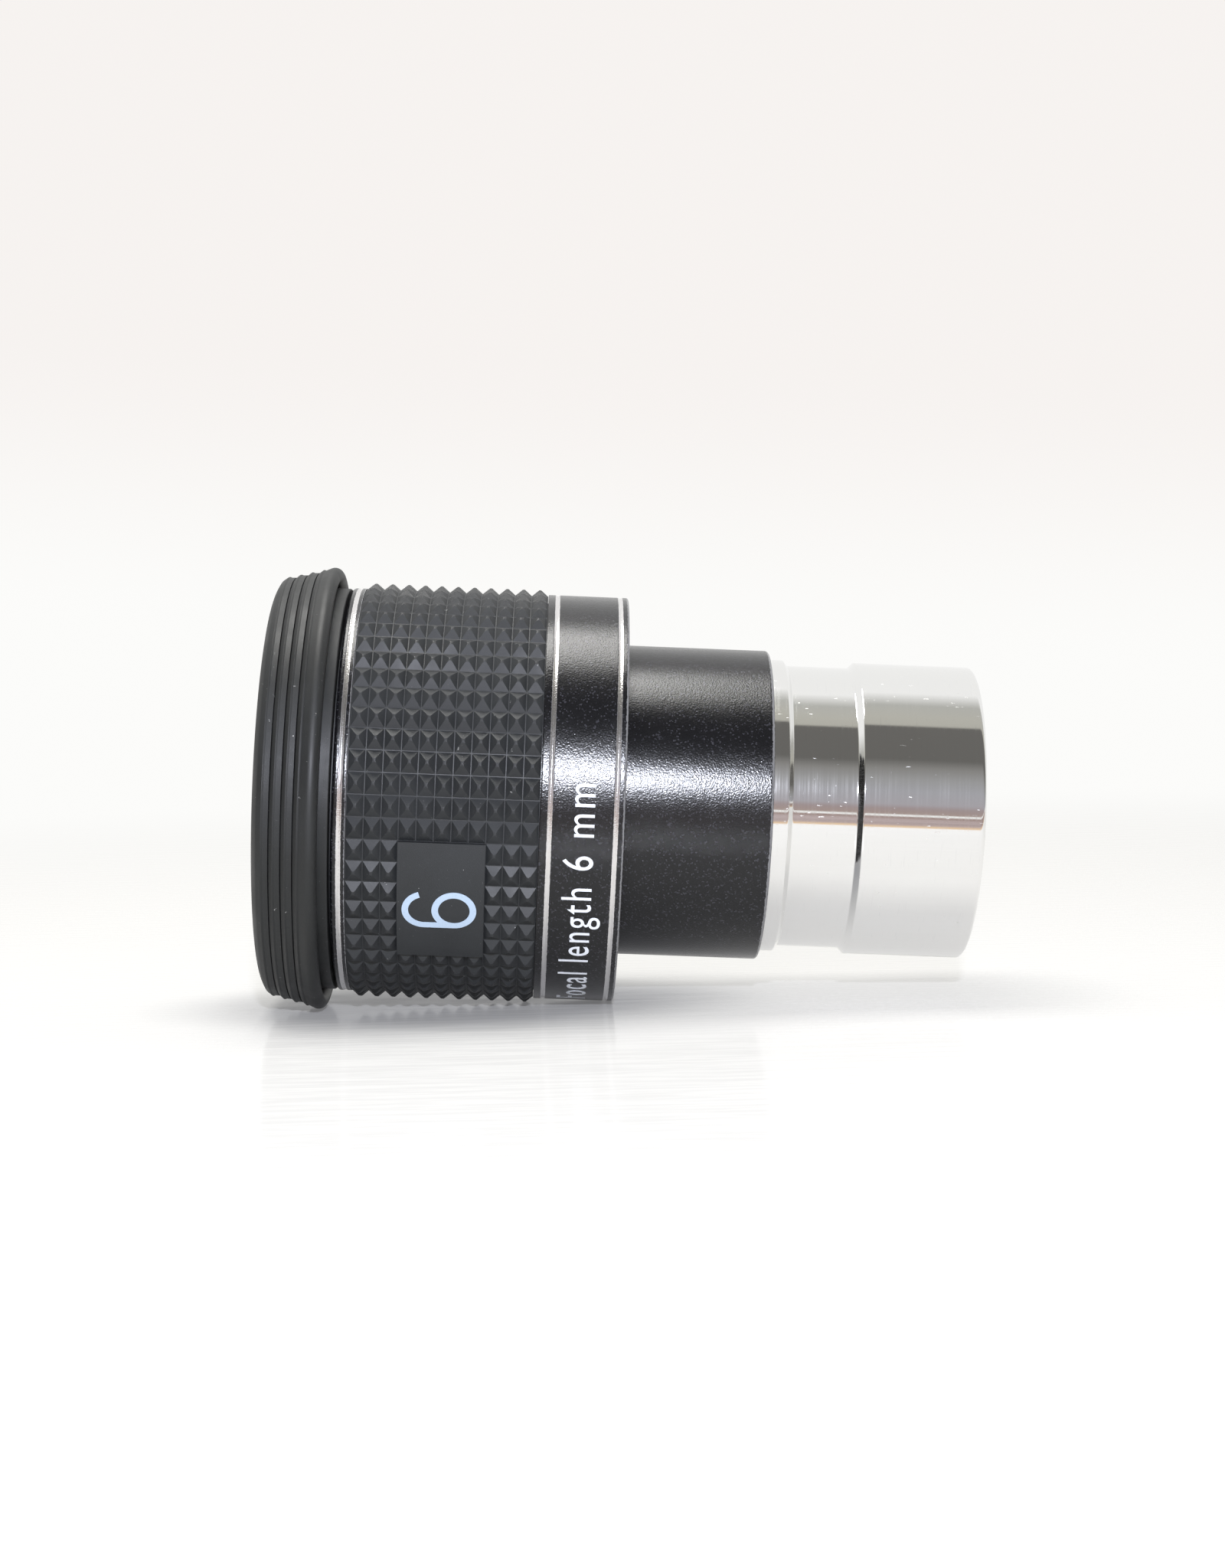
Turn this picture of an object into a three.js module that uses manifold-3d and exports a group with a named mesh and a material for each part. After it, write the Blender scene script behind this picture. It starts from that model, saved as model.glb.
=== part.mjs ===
// A push-fit telescope eyepiece with a twist-up eyecup.
// Millimetres. The optical axis is X: the eye end is towards -X and the chromed barrel points to +X.
// The origin is the centre of the shoulder that seats on the telescope's focuser. +Z is up.
// Angles round the axis start at the front (-Y) and grow upwards, towards +Z.

import * as THREE from 'three';
import { mergeVertices } from 'three/addons/utils/BufferGeometryUtils.js';
import Module from 'manifold-3d';

const wasm = await Module();
wasm.setup();

// ---------------------------------------------------------------- fits
const seatFit = 0.08; // radial gap of pieces screwed or pushed together
const runningFit = 0.3; // radial gap between the sleeve and the body that it turns on
const faceGap = 0.12; // axial gap between faces that seat on each other
const glassGap = 0.06; // cement or contact gap at a glass surface

// ---------------------------------------------------------------- shared shapes
const roundMiddle = 1 - Math.SQRT1_2; // inset of a quarter round's middle, as a share of its radius
const weldDistance = 1e-4; // points closer than this are one

// ---------------------------------------------------------------- facets
const outerSides = 36;
const innerSides = 24;
const lensSteps = 3;
const beadSteps = 6;
const crestSteps = 3;
const damperSides = 8;

// ---------------------------------------------------------------- barrel
const barrelRadius = 15.85;
const barrelLength = 22.15;
const barrelWall = 2.55;
const barrelEndRound = 0.5;
const barrelFlange = 1.59;
const flangeSunk = 0.9; // the flange's seat lies this far inside the shoulder
const undercutDepth = 0.6;
const undercutStart = 2.1;
const undercutEnd = 8.8;
const undercutRamp = 0.62;
const spigotLength = 7.3;
const spigotStep = 1.6;
const filterThreadDepth = 4.8;
const filterRim = 1.6;

// ---------------------------------------------------------------- lower body
const shoulderWidth = 0.93;
const bodyExposed = 15.42;
const bodyEdge = 0.32;
const bodyWall = 2.2;
const throatStep = 2.6;
const tubeStandOut = 0.93; // how far the guide tube passes the sleeve's eye end

// ---------------------------------------------------------------- twist mechanism
const liftTravel = 9;
const twistTurn = Math.PI; // turn that gives the whole travel
const guideCount = 3;
const grooveMargin = 3; // from the guide tube's eye end to the lifted screws
const grooveRadius = 1.3; // ball-ended groove
const grooveSides = 10;
const grooveSteps = 16;
const grooveRunOut = THREE.MathUtils.degToRad(8);
const screwRadius = 1.5;
const screwHoleFit = 0.15;
const screwSides = 16;
const screwBevel = 0.25;
const dogFit = 0.32; // round the dog in its groove
const dogTipGap = 0.4;
const screwSunk = 0.25; // the screw's head lies this far under the grip's channel
const socketAcross = 1.3;
const socketDepth = 1.3;

// ---------------------------------------------------------------- sleeve
const sleeveWall = 4.82;
const collarLength = 1.47;
const collarStep = 0.12;
const collarRound = 0.35;
const bandLength = 8.58;
const sleeveEdge = 0.22;
const lineWidth = 0.48; // bright diamond-cut lines
const lineDepth = 0.12;
const collarLineInset = 0.58;
const bandLineInset = 0.76;
const endLineInset = 0.65;
const channelDepth = 0.9;
const channelGap = 0.05;
const sleeveRelief = 1.2;
const landLength = 1.7;
const ringGrooveWidth = 2;
const ringGrooveDepth = 1.3;
const counterboreDepth = 7;
const counterboreStep = 1.92;
const guideLandLength = 5;

// ---------------------------------------------------------------- rubber grip
const gripColumns = 11;
const gripRows = 60;
const gripPitch = 1.77;
const gripValleyDrop = 0.15; // valleys lie this far under the sleeve's surface
const pyramidHeight = 0.59;
const panelFirstColumn = 3;
const panelColumns = 5;
const panelRows = 6;
const panelTopAngle = THREE.MathUtils.degToRad(-10);
const panelDrop = 0.06; // the label panel lies this far under the pyramids' tips

// ---------------------------------------------------------------- eyecup and its ring
const eyecupGap = 0.26;
const ringSpigotLength = 4.2;
const ringSpigotRise = 0.6;
const ringThreadLength = 6.6;
const ringBoreFit = 0.25;
const ringLipGroove = 0.45;
const ringLipInset = 2.2;
const ringLipWidth = 1.2;
const neckDrop = 0.2;
const neckLength = 1.35;
const cupLength = 7.82;
const crestDrop = 1.3; // from the neck's surface down to the crest
const crestNose = 0.65; // the nose runs this far back from the crest as it rises by crestNoseRise
const crestNoseRise = 1.95;
const crestInnerRound = 1.4;
const ribRun = 1.23;
const ribCount = 4;
const ribStep = 0.3;
const firstRibRise = 1.02;
const firstRibInset = 1.15;
const ribFoot = 0.42; // from a rib's foot to its tip
const ribFootDrop = 0.36;
const ribDip = 0.21; // from a rib's tip to the dip behind it
const ribDipDrop = 0.09;
const beadRise = 2.2;
const beadRadius = 0.85;
const beadInset = 0.45; // from the neck's front to the bead's centre
const creaseWidth = 0.4;
const creaseRise = 0.12;
const creaseEnd = 1.7;
const cupLipHeight = 0.9;

// ---------------------------------------------------------------- eye lens group
const cellWall = 2.9;
const cellLipThickness = 1.8;
const cellLipHeight = 1.55;
const cellFlangeWidth = 1.3;
const cellFlangeThickness = 0.55;
const cellMouthBevel = 1.5;
const cellMouthLand = 0.5; // between the bevel and the retaining ring
const middleLensEdge = 2.2;
const middleEyeBulge = 1.9;
const middleFieldBulge = 1.5;
const spacerLength = 8.6;
const flintCentre = 1.4;
const flintFieldBulge = 0.7;
const cementBulge = 2.6;
const crownEdge = 1.6;
const crownEyeBulge = 0.6;
const eyeRingLength = 1.9;
const eyeRingBevel = 1.14;

// ---------------------------------------------------------------- field lens group
const stopInset = 2.5; // ahead of the field lens tube
const stopThickness = 0.8;
const stopRadius = 6;
const tubeThreadLength = 4.2;
const tubeThreadInset = 1.8; // behind the barrel's spigot
const tubeGap = 2.8; // from the barrel's bore to the tube
const tubeWall = 1.2;
const tubeReach = 15; // past the shoulder
const tubeBoreStep = 0.5;
const fieldSeatInset = 8.4;
const fieldEyeBulge = 1.2;
const fieldCementBulge = 1.4;
const fieldRearBulge = 0.5;
const fieldConcaveCentre = 1.6;
const fieldMeniscusCentre = 2.6;
const fieldRingLength = 1.6;
const fieldRingWall = 1.5;
const fieldRingBevel = 0.75;
const spannerSlotWidth = 1.1;
const spannerSlotDepth = 0.9;

// ---------------------------------------------------------------- radii and stations that follow
const bodyRadius = barrelRadius + shoulderWidth;
const cellBore = bodyRadius - bodyWall;
const throatRadius = cellBore - throatStep;
const spigotRadius = barrelRadius - spigotStep;
const barrelBore = barrelRadius - barrelWall;
const sleeveBore = bodyRadius + runningFit;
const sleeveRadius = sleeveBore + sleeveWall;
const collarRadius = sleeveRadius - collarStep;
const channelRadius = sleeveRadius - channelDepth;
const gripLength = gripColumns * gripPitch;
const sleeveEnd = -bodyExposed;
const gripEnd = sleeveEnd - bandLength - channelGap;
const gripStart = gripEnd - gripLength;
const sleeveStart = gripStart - channelGap - collarLength;
const tubeStart = sleeveStart - tubeStandOut;
const screwStation = tubeStart + grooveMargin + liftTravel;
const ringStation = sleeveEnd - landLength - ringGrooveWidth / 2;
const cellStart = tubeStart - faceGap - cellFlangeThickness;
const cellRadius = cellBore - seatFit;
const lensSeatRadius = cellRadius - cellWall;
const lensRadius = lensSeatRadius - seatFit;
const lipRadius = lensSeatRadius - cellLipHeight;
const fieldTubeRadius = barrelBore - tubeGap;
const fieldSeatRadius = fieldTubeRadius - tubeWall;
const fieldLensRadius = fieldSeatRadius - seatFit;
const fieldBoreRadius = fieldSeatRadius - tubeBoreStep;

// ================================================================ making solids

// Turns a closed outline of [x, r] points about the X axis. An outline that starts and ends
// on the axis makes a disc, and any other is closed into a ring.
function turned(outline, sides) {
  const points = outline.map(([x, r]) => new THREE.Vector2(r, x));
  const last = points[points.length - 1];
  if (points[0].x > 0 || last.x > 0) points.push(points[0].clone());
  if (THREE.ShapeUtils.area(points) < 0) points.reverse();
  return new THREE.LatheGeometry(points, sides).rotateZ(-Math.PI / 2);
}

function toSolid(geometry) {
  const bare = geometry.clone();
  bare.deleteAttribute('normal');
  bare.deleteAttribute('uv');
  const merged = mergeVertices(bare, weldDistance);
  const vertProperties = new Float32Array(merged.attributes.position.array);
  const triVerts = new Uint32Array(merged.index.array);
  return new wasm.Manifold(new wasm.Mesh({ numProp: 3, vertProperties, triVerts }));
}

function toGeometry(solid) {
  const mesh = solid.getMesh();
  const geometry = new THREE.BufferGeometry();
  geometry.setAttribute('position', new THREE.BufferAttribute(mesh.vertProperties, 3));
  geometry.setIndex(new THREE.BufferAttribute(mesh.triVerts, 1));
  return geometry;
}

function cut(geometry, cutters) {
  return toGeometry(cutters.reduce((solid, cutter) => solid.subtract(toSolid(cutter)), toSolid(geometry)));
}

// A point at station x and radius r, at an angle that starts at the front and grows upwards.
function around(x, r, angle) {
  return new THREE.Vector3(x, -r * Math.cos(angle), r * Math.sin(angle));
}

function guideAngle(i) {
  return (i / guideCount) * 2 * Math.PI;
}

// A bar, longer than the ring is wide, that cuts two slots across a retaining ring's face for a spanner.
function spannerBar(x, radius) {
  return new THREE.BoxGeometry(2 * spannerSlotDepth, 4 * radius, spannerSlotWidth).translate(x, 0, 0);
}

// ================================================================ glass

// How far a spherical surface stands above its edge plane at radius r. A negative bulge is hollow.
function rise(r, edgeRadius, bulge) {
  const sphere = (edgeRadius ** 2 + bulge ** 2) / (2 * Math.abs(bulge));
  return Math.sign(bulge) * (Math.sqrt(sphere ** 2 - r ** 2) - (sphere - Math.abs(bulge)));
}

// A lens from the edge plane on its eye side to the one on its field side.
function lens(eyeEdge, eyeBulge, fieldEdge, fieldBulge, radius) {
  const outline = [];
  for (let i = 0; i <= lensSteps; i += 1) {
    const r = (radius * i) / lensSteps;
    outline.push([eyeEdge - rise(r, radius, eyeBulge), r]);
  }
  for (let i = lensSteps; i >= 0; i -= 1) {
    const r = (radius * i) / lensSteps;
    outline.push([fieldEdge + rise(r, radius, fieldBulge), r]);
  }
  return turned(outline, innerSides);
}

// ================================================================ barrel and lower body

function barrel() {
  const undercutRadius = barrelRadius - undercutDepth;
  const outline = [
    [-spigotLength, spigotRadius],
    [faceGap - flangeSunk, spigotRadius],
    [faceGap - flangeSunk, barrelRadius],
    [barrelFlange, barrelRadius],
    [undercutStart, undercutRadius],
    [undercutEnd, undercutRadius],
    [undercutEnd + undercutRamp, barrelRadius],
    [barrelLength - barrelEndRound, barrelRadius],
    [barrelLength - roundMiddle * barrelEndRound, barrelRadius - roundMiddle * barrelEndRound],
    [barrelLength, barrelRadius - barrelEndRound],
    [barrelLength, barrelRadius - filterRim],
    [barrelLength - filterThreadDepth, barrelRadius - filterRim],
    [barrelLength - filterThreadDepth, barrelBore],
    [-spigotLength, barrelBore],
  ];
  return turned(outline, outerSides);
}

// The path of a guide screw's tip as the sleeve screws up: it turns as it moves to the eye end.
class GuidePath extends THREE.Curve {
  constructor(startAngle, radius) {
    super();
    this.startAngle = startAngle;
    this.radius = radius;
  }

  getPoint(t) {
    const turn = THREE.MathUtils.lerp(-grooveRunOut, twistTurn + grooveRunOut, t);
    const x = screwStation - (turn / twistTurn) * liftTravel;
    return around(x, this.radius, this.startAngle + turn);
  }
}

function guideGroove(i) {
  const section = new THREE.Shape();
  section.absarc(0, 0, grooveRadius, 0, 2 * Math.PI);
  return new THREE.ExtrudeGeometry(section, {
    steps: grooveSteps,
    curveSegments: grooveSides / 2,
    extrudePath: new GuidePath(guideAngle(i), bodyRadius),
  });
}

function lowerBody() {
  const spigotBore = spigotRadius + seatFit;
  const flangeBore = barrelRadius + seatFit;
  const outline = [
    [tubeStart, bodyRadius - bodyEdge],
    [tubeStart + bodyEdge, bodyRadius],
    [-bodyEdge, bodyRadius],
    [0, bodyRadius - bodyEdge],
    [0, flangeBore],
    [-flangeSunk, flangeBore],
    [-flangeSunk, spigotBore],
    [-spigotLength - faceGap, spigotBore],
    [-spigotLength - faceGap, throatRadius],
    [cellSeat, throatRadius],
    [cellSeat, cellBore],
    [tubeStart, cellBore],
  ];
  const grooves = Array.from({ length: guideCount }, (_, i) => guideGroove(i));
  return cut(turned(outline, outerSides), grooves);
}

// ================================================================ twist sleeve

// A shallow V turned into the sleeve's surface.
function brightLine(x, radius) {
  return [
    [x, radius],
    [x + lineWidth / 2, radius - lineDepth],
    [x + lineWidth, radius],
  ];
}

function twistSleeve() {
  const ringGrooveRadius = sleeveBore + ringGrooveDepth;
  const reliefRadius = sleeveBore + sleeveRelief;
  const counterbore = sleeveBore + counterboreStep;
  const reliefEnd = ringStation - ringGrooveWidth / 2 - landLength;
  const guideLandEnd = screwStation + guideLandLength / 2;
  const outline = [
    [sleeveStart, collarRadius - collarRound],
    [sleeveStart + roundMiddle * collarRound, collarRadius - roundMiddle * collarRound],
    [sleeveStart + collarRound, collarRadius],
    ...brightLine(sleeveStart + collarLineInset, collarRadius),
    [gripStart - channelGap, collarRadius],
    [gripStart - channelGap, channelRadius],
    [gripEnd + channelGap, channelRadius],
    [gripEnd + channelGap, sleeveRadius],
    ...brightLine(gripEnd + channelGap + bandLineInset, sleeveRadius),
    ...brightLine(sleeveEnd - endLineInset - lineWidth, sleeveRadius),
    [sleeveEnd - sleeveEdge, sleeveRadius],
    [sleeveEnd, sleeveRadius - sleeveEdge],
    [sleeveEnd, sleeveBore],
    [ringStation + ringGrooveWidth / 2, sleeveBore],
    [ringStation + ringGrooveWidth / 2, ringGrooveRadius],
    [ringStation - ringGrooveWidth / 2, ringGrooveRadius],
    [ringStation - ringGrooveWidth / 2, sleeveBore],
    [reliefEnd, sleeveBore],
    [reliefEnd, reliefRadius],
    [guideLandEnd, reliefRadius],
    [guideLandEnd, sleeveBore],
    [sleeveStart + counterboreDepth, sleeveBore],
    [sleeveStart + counterboreDepth, counterbore],
    [sleeveStart, counterbore],
  ];
  const holes = Array.from({ length: guideCount }, (_, i) => {
    const holeRadius = screwRadius + screwHoleFit;
    const hole = new THREE.CylinderGeometry(holeRadius, holeRadius, 2 * sleeveWall, screwSides);
    const middle = around(screwStation, sleeveBore + sleeveWall / 2, guideAngle(i));
    return hole.rotateX(-guideAngle(i)).translate(middle.x, middle.y, middle.z);
  });
  return cut(turned(outline, outerSides), holes);
}

// A dog-point grub screw along X: the dog points to -X and the hexagon socket opens at +X.
function guideScrew() {
  const tip = bodyRadius - grooveRadius + dogTipGap;
  const dogRadius = grooveRadius - dogFit;
  const head = channelRadius - screwSunk;
  const shoulder = bodyRadius + runningFit;
  const outline = [
    [tip, 0],
    [tip, dogRadius - screwBevel],
    [tip + screwBevel, dogRadius],
    [shoulder, dogRadius],
    [shoulder, screwRadius - screwBevel],
    [shoulder + screwBevel, screwRadius],
    [head - screwBevel, screwRadius],
    [head, screwRadius - screwBevel],
    [head, 0],
  ];
  const socketRadius = socketAcross / Math.sqrt(3);
  const socket = new THREE.CylinderGeometry(socketRadius, socketRadius, 2 * socketDepth, 6);
  return cut(turned(outline, screwSides), [socket.rotateZ(Math.PI / 2).translate(head, 0, 0)]);
}

function dampingRing() {
  const section = (ringGrooveDepth + runningFit - 2 * seatFit) / 2;
  const middle = bodyRadius + seatFit + section;
  const outline = [];
  for (let i = 0; i < damperSides; i += 1) {
    const angle = (i / damperSides) * 2 * Math.PI;
    outline.push([ringStation + section * Math.cos(angle), middle + section * Math.sin(angle)]);
  }
  return turned(outline, outerSides);
}

// ================================================================ rubber grip

// A rubber band moulded with a grid of small pyramids, and a smooth raised panel for the label.
function rubberGrip() {
  const bore = channelRadius + seatFit;
  const valley = sleeveRadius - gripValleyDrop;
  const peak = valley + pyramidHeight;
  const panel = peak - panelDrop;
  const rowAngle = (2 * Math.PI) / gripRows;
  const positions = [];

  const station = (column) => gripStart + column * gripPitch;
  const at = (column, row, r) => around(station(column), r, panelTopAngle - row * rowAngle);
  const triangle = (a, b, c) => positions.push(...a, ...b, ...c);
  const quad = (a, b, c, d) => {
    triangle(a, b, c);
    triangle(a, c, d);
  };
  const inPanel = (column, row) => (
    column >= panelFirstColumn && column < panelFirstColumn + panelColumns
    && (row + gripRows) % gripRows < panelRows
  );

  for (let column = 0; column < gripColumns; column += 1) {
    for (let row = 0; row < gripRows; row += 1) {
      const floor = inPanel(column, row) ? panel : valley;
      const corners = [
        at(column, row, floor), at(column, row + 1, floor),
        at(column + 1, row + 1, floor), at(column + 1, row, floor),
      ];
      if (inPanel(column, row)) {
        quad(...corners);
        const neighbours = [[column - 1, row], [column, row + 1], [column + 1, row], [column, row - 1]];
        const feet = [
          at(column, row, valley), at(column, row + 1, valley),
          at(column + 1, row + 1, valley), at(column + 1, row, valley),
        ];
        neighbours.forEach(([c, r], side) => {
          const next = (side + 1) % 4;
          if (!inPanel(c, r)) quad(corners[side], feet[side], feet[next], corners[next]);
        });
      } else {
        const tip = around(station(column + 0.5), peak, panelTopAngle - (row + 0.5) * rowAngle);
        corners.forEach((corner, side) => triangle(corner, corners[(side + 1) % 4], tip));
      }
    }
  }
  for (let row = 0; row < gripRows; row += 1) {
    quad(at(0, row + 1, valley), at(0, row, valley), at(0, row, bore), at(0, row + 1, bore));
    quad(at(gripColumns, row, valley), at(gripColumns, row + 1, valley),
      at(gripColumns, row + 1, bore), at(gripColumns, row, bore));
    quad(at(0, row, bore), at(gripColumns, row, bore), at(gripColumns, row + 1, bore), at(0, row + 1, bore));
  }
  const geometry = new THREE.BufferGeometry();
  geometry.setAttribute('position', new THREE.Float32BufferAttribute(positions, 3));
  return mergeVertices(geometry, weldDistance);
}

// ================================================================ eyecup

const ringBore = sleeveBore + ringBoreFit;
const ringThreadRadius = sleeveBore + counterboreStep - seatFit;
const ringSpigotRadius = ringThreadRadius + ringSpigotRise + seatFit;
const ringShoulder = sleeveStart - faceGap;
const ringFront = ringShoulder - ringSpigotLength;
const lipStation = ringShoulder - ringLipInset;

// The threaded ring that the rubber eyecup hooks over.
function eyecupRing() {
  const outline = [
    [ringFront, ringSpigotRadius],
    [lipStation - ringLipWidth / 2, ringSpigotRadius],
    [lipStation - ringLipWidth / 2, ringSpigotRadius - ringLipGroove],
    [lipStation + ringLipWidth / 2, ringSpigotRadius - ringLipGroove],
    [lipStation + ringLipWidth / 2, ringSpigotRadius],
    [ringShoulder, ringSpigotRadius],
    [ringShoulder, ringThreadRadius],
    [ringShoulder + ringThreadLength, ringThreadRadius],
    [ringShoulder + ringThreadLength, ringBore],
    [ringFront, ringBore],
  ];
  return turned(outline, outerSides);
}

// Folded down: the rubber runs forwards from its neck, turns over at the crest and comes back
// outside itself as a ribbed flap that ends in a bead.
function eyecup() {
  const neckRadius = sleeveRadius - neckDrop;
  const neckEnd = sleeveStart - eyecupGap;
  const crest = neckEnd - cupLength;
  const bore = ringSpigotRadius + seatFit;
  const hook = ringSpigotRadius - ringLipGroove + seatFit;
  const hookHalf = ringLipWidth / 2 - seatFit;
  const crestRadius = neckRadius - crestDrop;
  const lip = bore - cupLipHeight;
  const outline = [];
  for (let i = 0; i <= crestSteps; i += 1) {
    const share = i / crestSteps;
    outline.push([crest + crestNose * share ** 2, crestRadius + crestNoseRise * share]);
  }
  for (let i = 0; i < ribCount; i += 1) {
    const tip = crest + firstRibInset + i * ribRun;
    const radius = neckRadius + firstRibRise + i * ribStep;
    if (i > 0) outline.push([tip - ribFoot, radius - ribFootDrop]);
    outline.push([tip, radius]);
    outline.push([tip + ribDip, radius - ribDipDrop]);
  }
  const bead = [neckEnd - neckLength - beadInset, neckRadius + beadRise - beadRadius];
  for (let i = 0; i <= beadSteps; i += 1) {
    const angle = Math.PI * (0.5 - i / beadSteps);
    outline.push([bead[0] + beadRadius * Math.cos(angle), bead[1] + beadRadius * Math.sin(angle)]);
  }
  const creaseDeep = crest + creaseEnd;
  outline.push(
    [creaseDeep, neckRadius + creaseRise],
    [creaseDeep - creaseWidth / 2, neckRadius + creaseRise - creaseWidth / 2],
    [creaseDeep, neckRadius + creaseRise - creaseWidth],
    [neckEnd - neckLength, neckRadius],
    [neckEnd, neckRadius],
    [neckEnd, bore],
    [lipStation + hookHalf, bore],
    [lipStation + hookHalf, hook],
    [lipStation - hookHalf, hook],
    [lipStation - hookHalf, bore],
    [ringFront - faceGap, bore],
    [ringFront - faceGap, lip],
  );
  for (let i = crestSteps; i > 0; i -= 1) {
    const angle = ((i / crestSteps) * Math.PI) / 2;
    const x = crest + crestInnerRound * (1 - Math.cos(angle));
    outline.push([x, crestRadius - (crestRadius - lip) * Math.sin(angle)]);
  }
  return turned(outline, outerSides);
}

// ================================================================ eye lens group

// Stations run from the cell's mouth towards the barrel, each piece resting on the one before.
const eyeRingStart = cellStart + cellMouthBevel + cellMouthLand;
const eyeRingEnd = eyeRingStart + eyeRingLength;
const crownEyeEdge = eyeRingEnd + glassGap + rise(lipRadius, lensRadius, crownEyeBulge);
const crownFieldEdge = crownEyeEdge + crownEdge;
const flintEyeEdge = crownFieldEdge + glassGap;
const flintFieldEdge = flintEyeEdge + flintCentre + cementBulge - flintFieldBulge;
const spacerStart = flintFieldEdge + glassGap + rise(lipRadius, lensRadius, flintFieldBulge);
const spacerEnd = spacerStart + spacerLength;
const middleEyeEdge = spacerEnd + glassGap + rise(lipRadius, lensRadius, middleEyeBulge);
const middleFieldEdge = middleEyeEdge + middleLensEdge;
const lipFace = middleFieldEdge + glassGap + rise(lipRadius, lensRadius, middleFieldBulge);
const cellEnd = lipFace + cellLipThickness;
const cellSeat = cellEnd + faceGap;

function lensCell() {
  const flangeRadius = cellRadius + cellFlangeWidth;
  const outline = [
    [cellStart, flangeRadius],
    [tubeStart - faceGap, flangeRadius],
    [tubeStart - faceGap, cellRadius],
    [cellEnd, cellRadius],
    [cellEnd, lipRadius],
    [lipFace, lipRadius],
    [lipFace, lensSeatRadius],
    [cellStart + cellMouthBevel, lensSeatRadius],
    [cellStart, lensSeatRadius + cellMouthBevel],
  ];
  return turned(outline, innerSides);
}

function lensSpacer() {
  const outline = [
    [spacerStart, lipRadius],
    [spacerStart, lensRadius],
    [spacerEnd, lensRadius],
    [spacerEnd, lipRadius],
  ];
  return turned(outline, innerSides);
}

function eyeLensRing() {
  const outline = [
    [eyeRingStart, lipRadius + eyeRingBevel],
    [eyeRingStart, lensRadius],
    [eyeRingEnd, lensRadius],
    [eyeRingEnd, lipRadius],
  ];
  return cut(turned(outline, innerSides), [spannerBar(eyeRingStart, lensRadius)]);
}

// ================================================================ field lens group

const tubeThreadEnd = -spigotLength - faceGap - tubeThreadInset;
const tubeThreadStart = tubeThreadEnd - tubeThreadLength;
const stopStation = tubeThreadStart - stopInset - stopThickness;
const fieldSeat = tubeReach - fieldSeatInset;
const concaveEyeEdge = fieldSeat + glassGap;
const concaveFieldEdge = concaveEyeEdge + fieldConcaveCentre + fieldEyeBulge + fieldCementBulge;
const meniscusEyeEdge = concaveFieldEdge + glassGap;
const meniscusFieldEdge = meniscusEyeEdge + fieldMeniscusCentre - fieldCementBulge + fieldRearBulge;
const fieldRingStart = meniscusFieldEdge + glassGap;

function fieldStop() {
  const outline = [
    [stopStation, throatRadius - seatFit],
    [stopStation + stopThickness, throatRadius - seatFit],
    [stopStation + stopThickness, stopRadius + stopThickness],
    [stopStation, stopRadius],
  ];
  return turned(outline, innerSides);
}

function fieldLensTube() {
  const threadRadius = throatRadius - seatFit;
  const outline = [
    [tubeThreadStart, threadRadius],
    [tubeThreadEnd, threadRadius],
    [tubeThreadEnd, fieldTubeRadius],
    [tubeReach, fieldTubeRadius],
    [tubeReach, fieldSeatRadius],
    [fieldSeat, fieldSeatRadius],
    [fieldSeat, fieldBoreRadius],
    [tubeThreadStart, fieldBoreRadius],
  ];
  return turned(outline, innerSides);
}

function fieldLensRing() {
  const inner = fieldLensRadius - fieldRingWall;
  const end = fieldRingStart + fieldRingLength;
  const outline = [
    [fieldRingStart, inner],
    [fieldRingStart, fieldLensRadius],
    [end, fieldLensRadius],
    [end, inner + fieldRingBevel],
  ];
  return cut(turned(outline, innerSides), [spannerBar(end, fieldLensRadius)]);
}

// ================================================================ assembly

const rubber = { color: 0x2c2d2d, roughness: 0.85, metalness: 0 };
const blackAnodise = { color: 0x0c0c0e, roughness: 0.45, metalness: 0.6 };
const chrome = { color: 0xd8d9dc, roughness: 0.08, metalness: 1 };
const mattBlack = { color: 0x121212, roughness: 0.8, metalness: 0.2 };
const darkSteel = { color: 0x2a2a2c, roughness: 0.4, metalness: 1 };
const coatedGlass = { color: 0x9db7a8, roughness: 0.03, metalness: 0, transparent: true, opacity: 0.35 };

function piece(name, geometry, look) {
  const mesh = new THREE.Mesh(geometry, new THREE.MeshStandardMaterial(look));
  mesh.name = name;
  return mesh;
}

const fixed = new THREE.Group();
fixed.add(
  piece('barrel', barrel(), chrome),
  piece('lower_body', lowerBody(), blackAnodise),
  piece('lens_cell', lensCell(), mattBlack),
  piece('eye_lens_ring', eyeLensRing(), mattBlack),
  piece('eye_lens_crown', lens(crownEyeEdge, crownEyeBulge, crownFieldEdge, cementBulge, lensRadius), coatedGlass),
  piece('eye_lens_flint', lens(flintEyeEdge, -cementBulge, flintFieldEdge, flintFieldBulge, lensRadius), coatedGlass),
  piece('lens_spacer', lensSpacer(), mattBlack),
  piece(
    'middle_lens',
    lens(middleEyeEdge, middleEyeBulge, middleFieldEdge, middleFieldBulge, lensRadius),
    coatedGlass,
  ),
  piece('field_stop', fieldStop(), mattBlack),
  piece('field_lens_tube', fieldLensTube(), mattBlack),
  piece(
    'field_lens_concave',
    lens(concaveEyeEdge, -fieldEyeBulge, concaveFieldEdge, -fieldCementBulge, fieldLensRadius),
    coatedGlass,
  ),
  piece(
    'field_lens_meniscus',
    lens(meniscusEyeEdge, fieldCementBulge, meniscusFieldEdge, -fieldRearBulge, fieldLensRadius),
    coatedGlass,
  ),
  piece('field_lens_ring', fieldLensRing(), mattBlack),
);

const lifting = new THREE.Group();
lifting.add(piece('damping_ring', dampingRing(), rubber));

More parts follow.
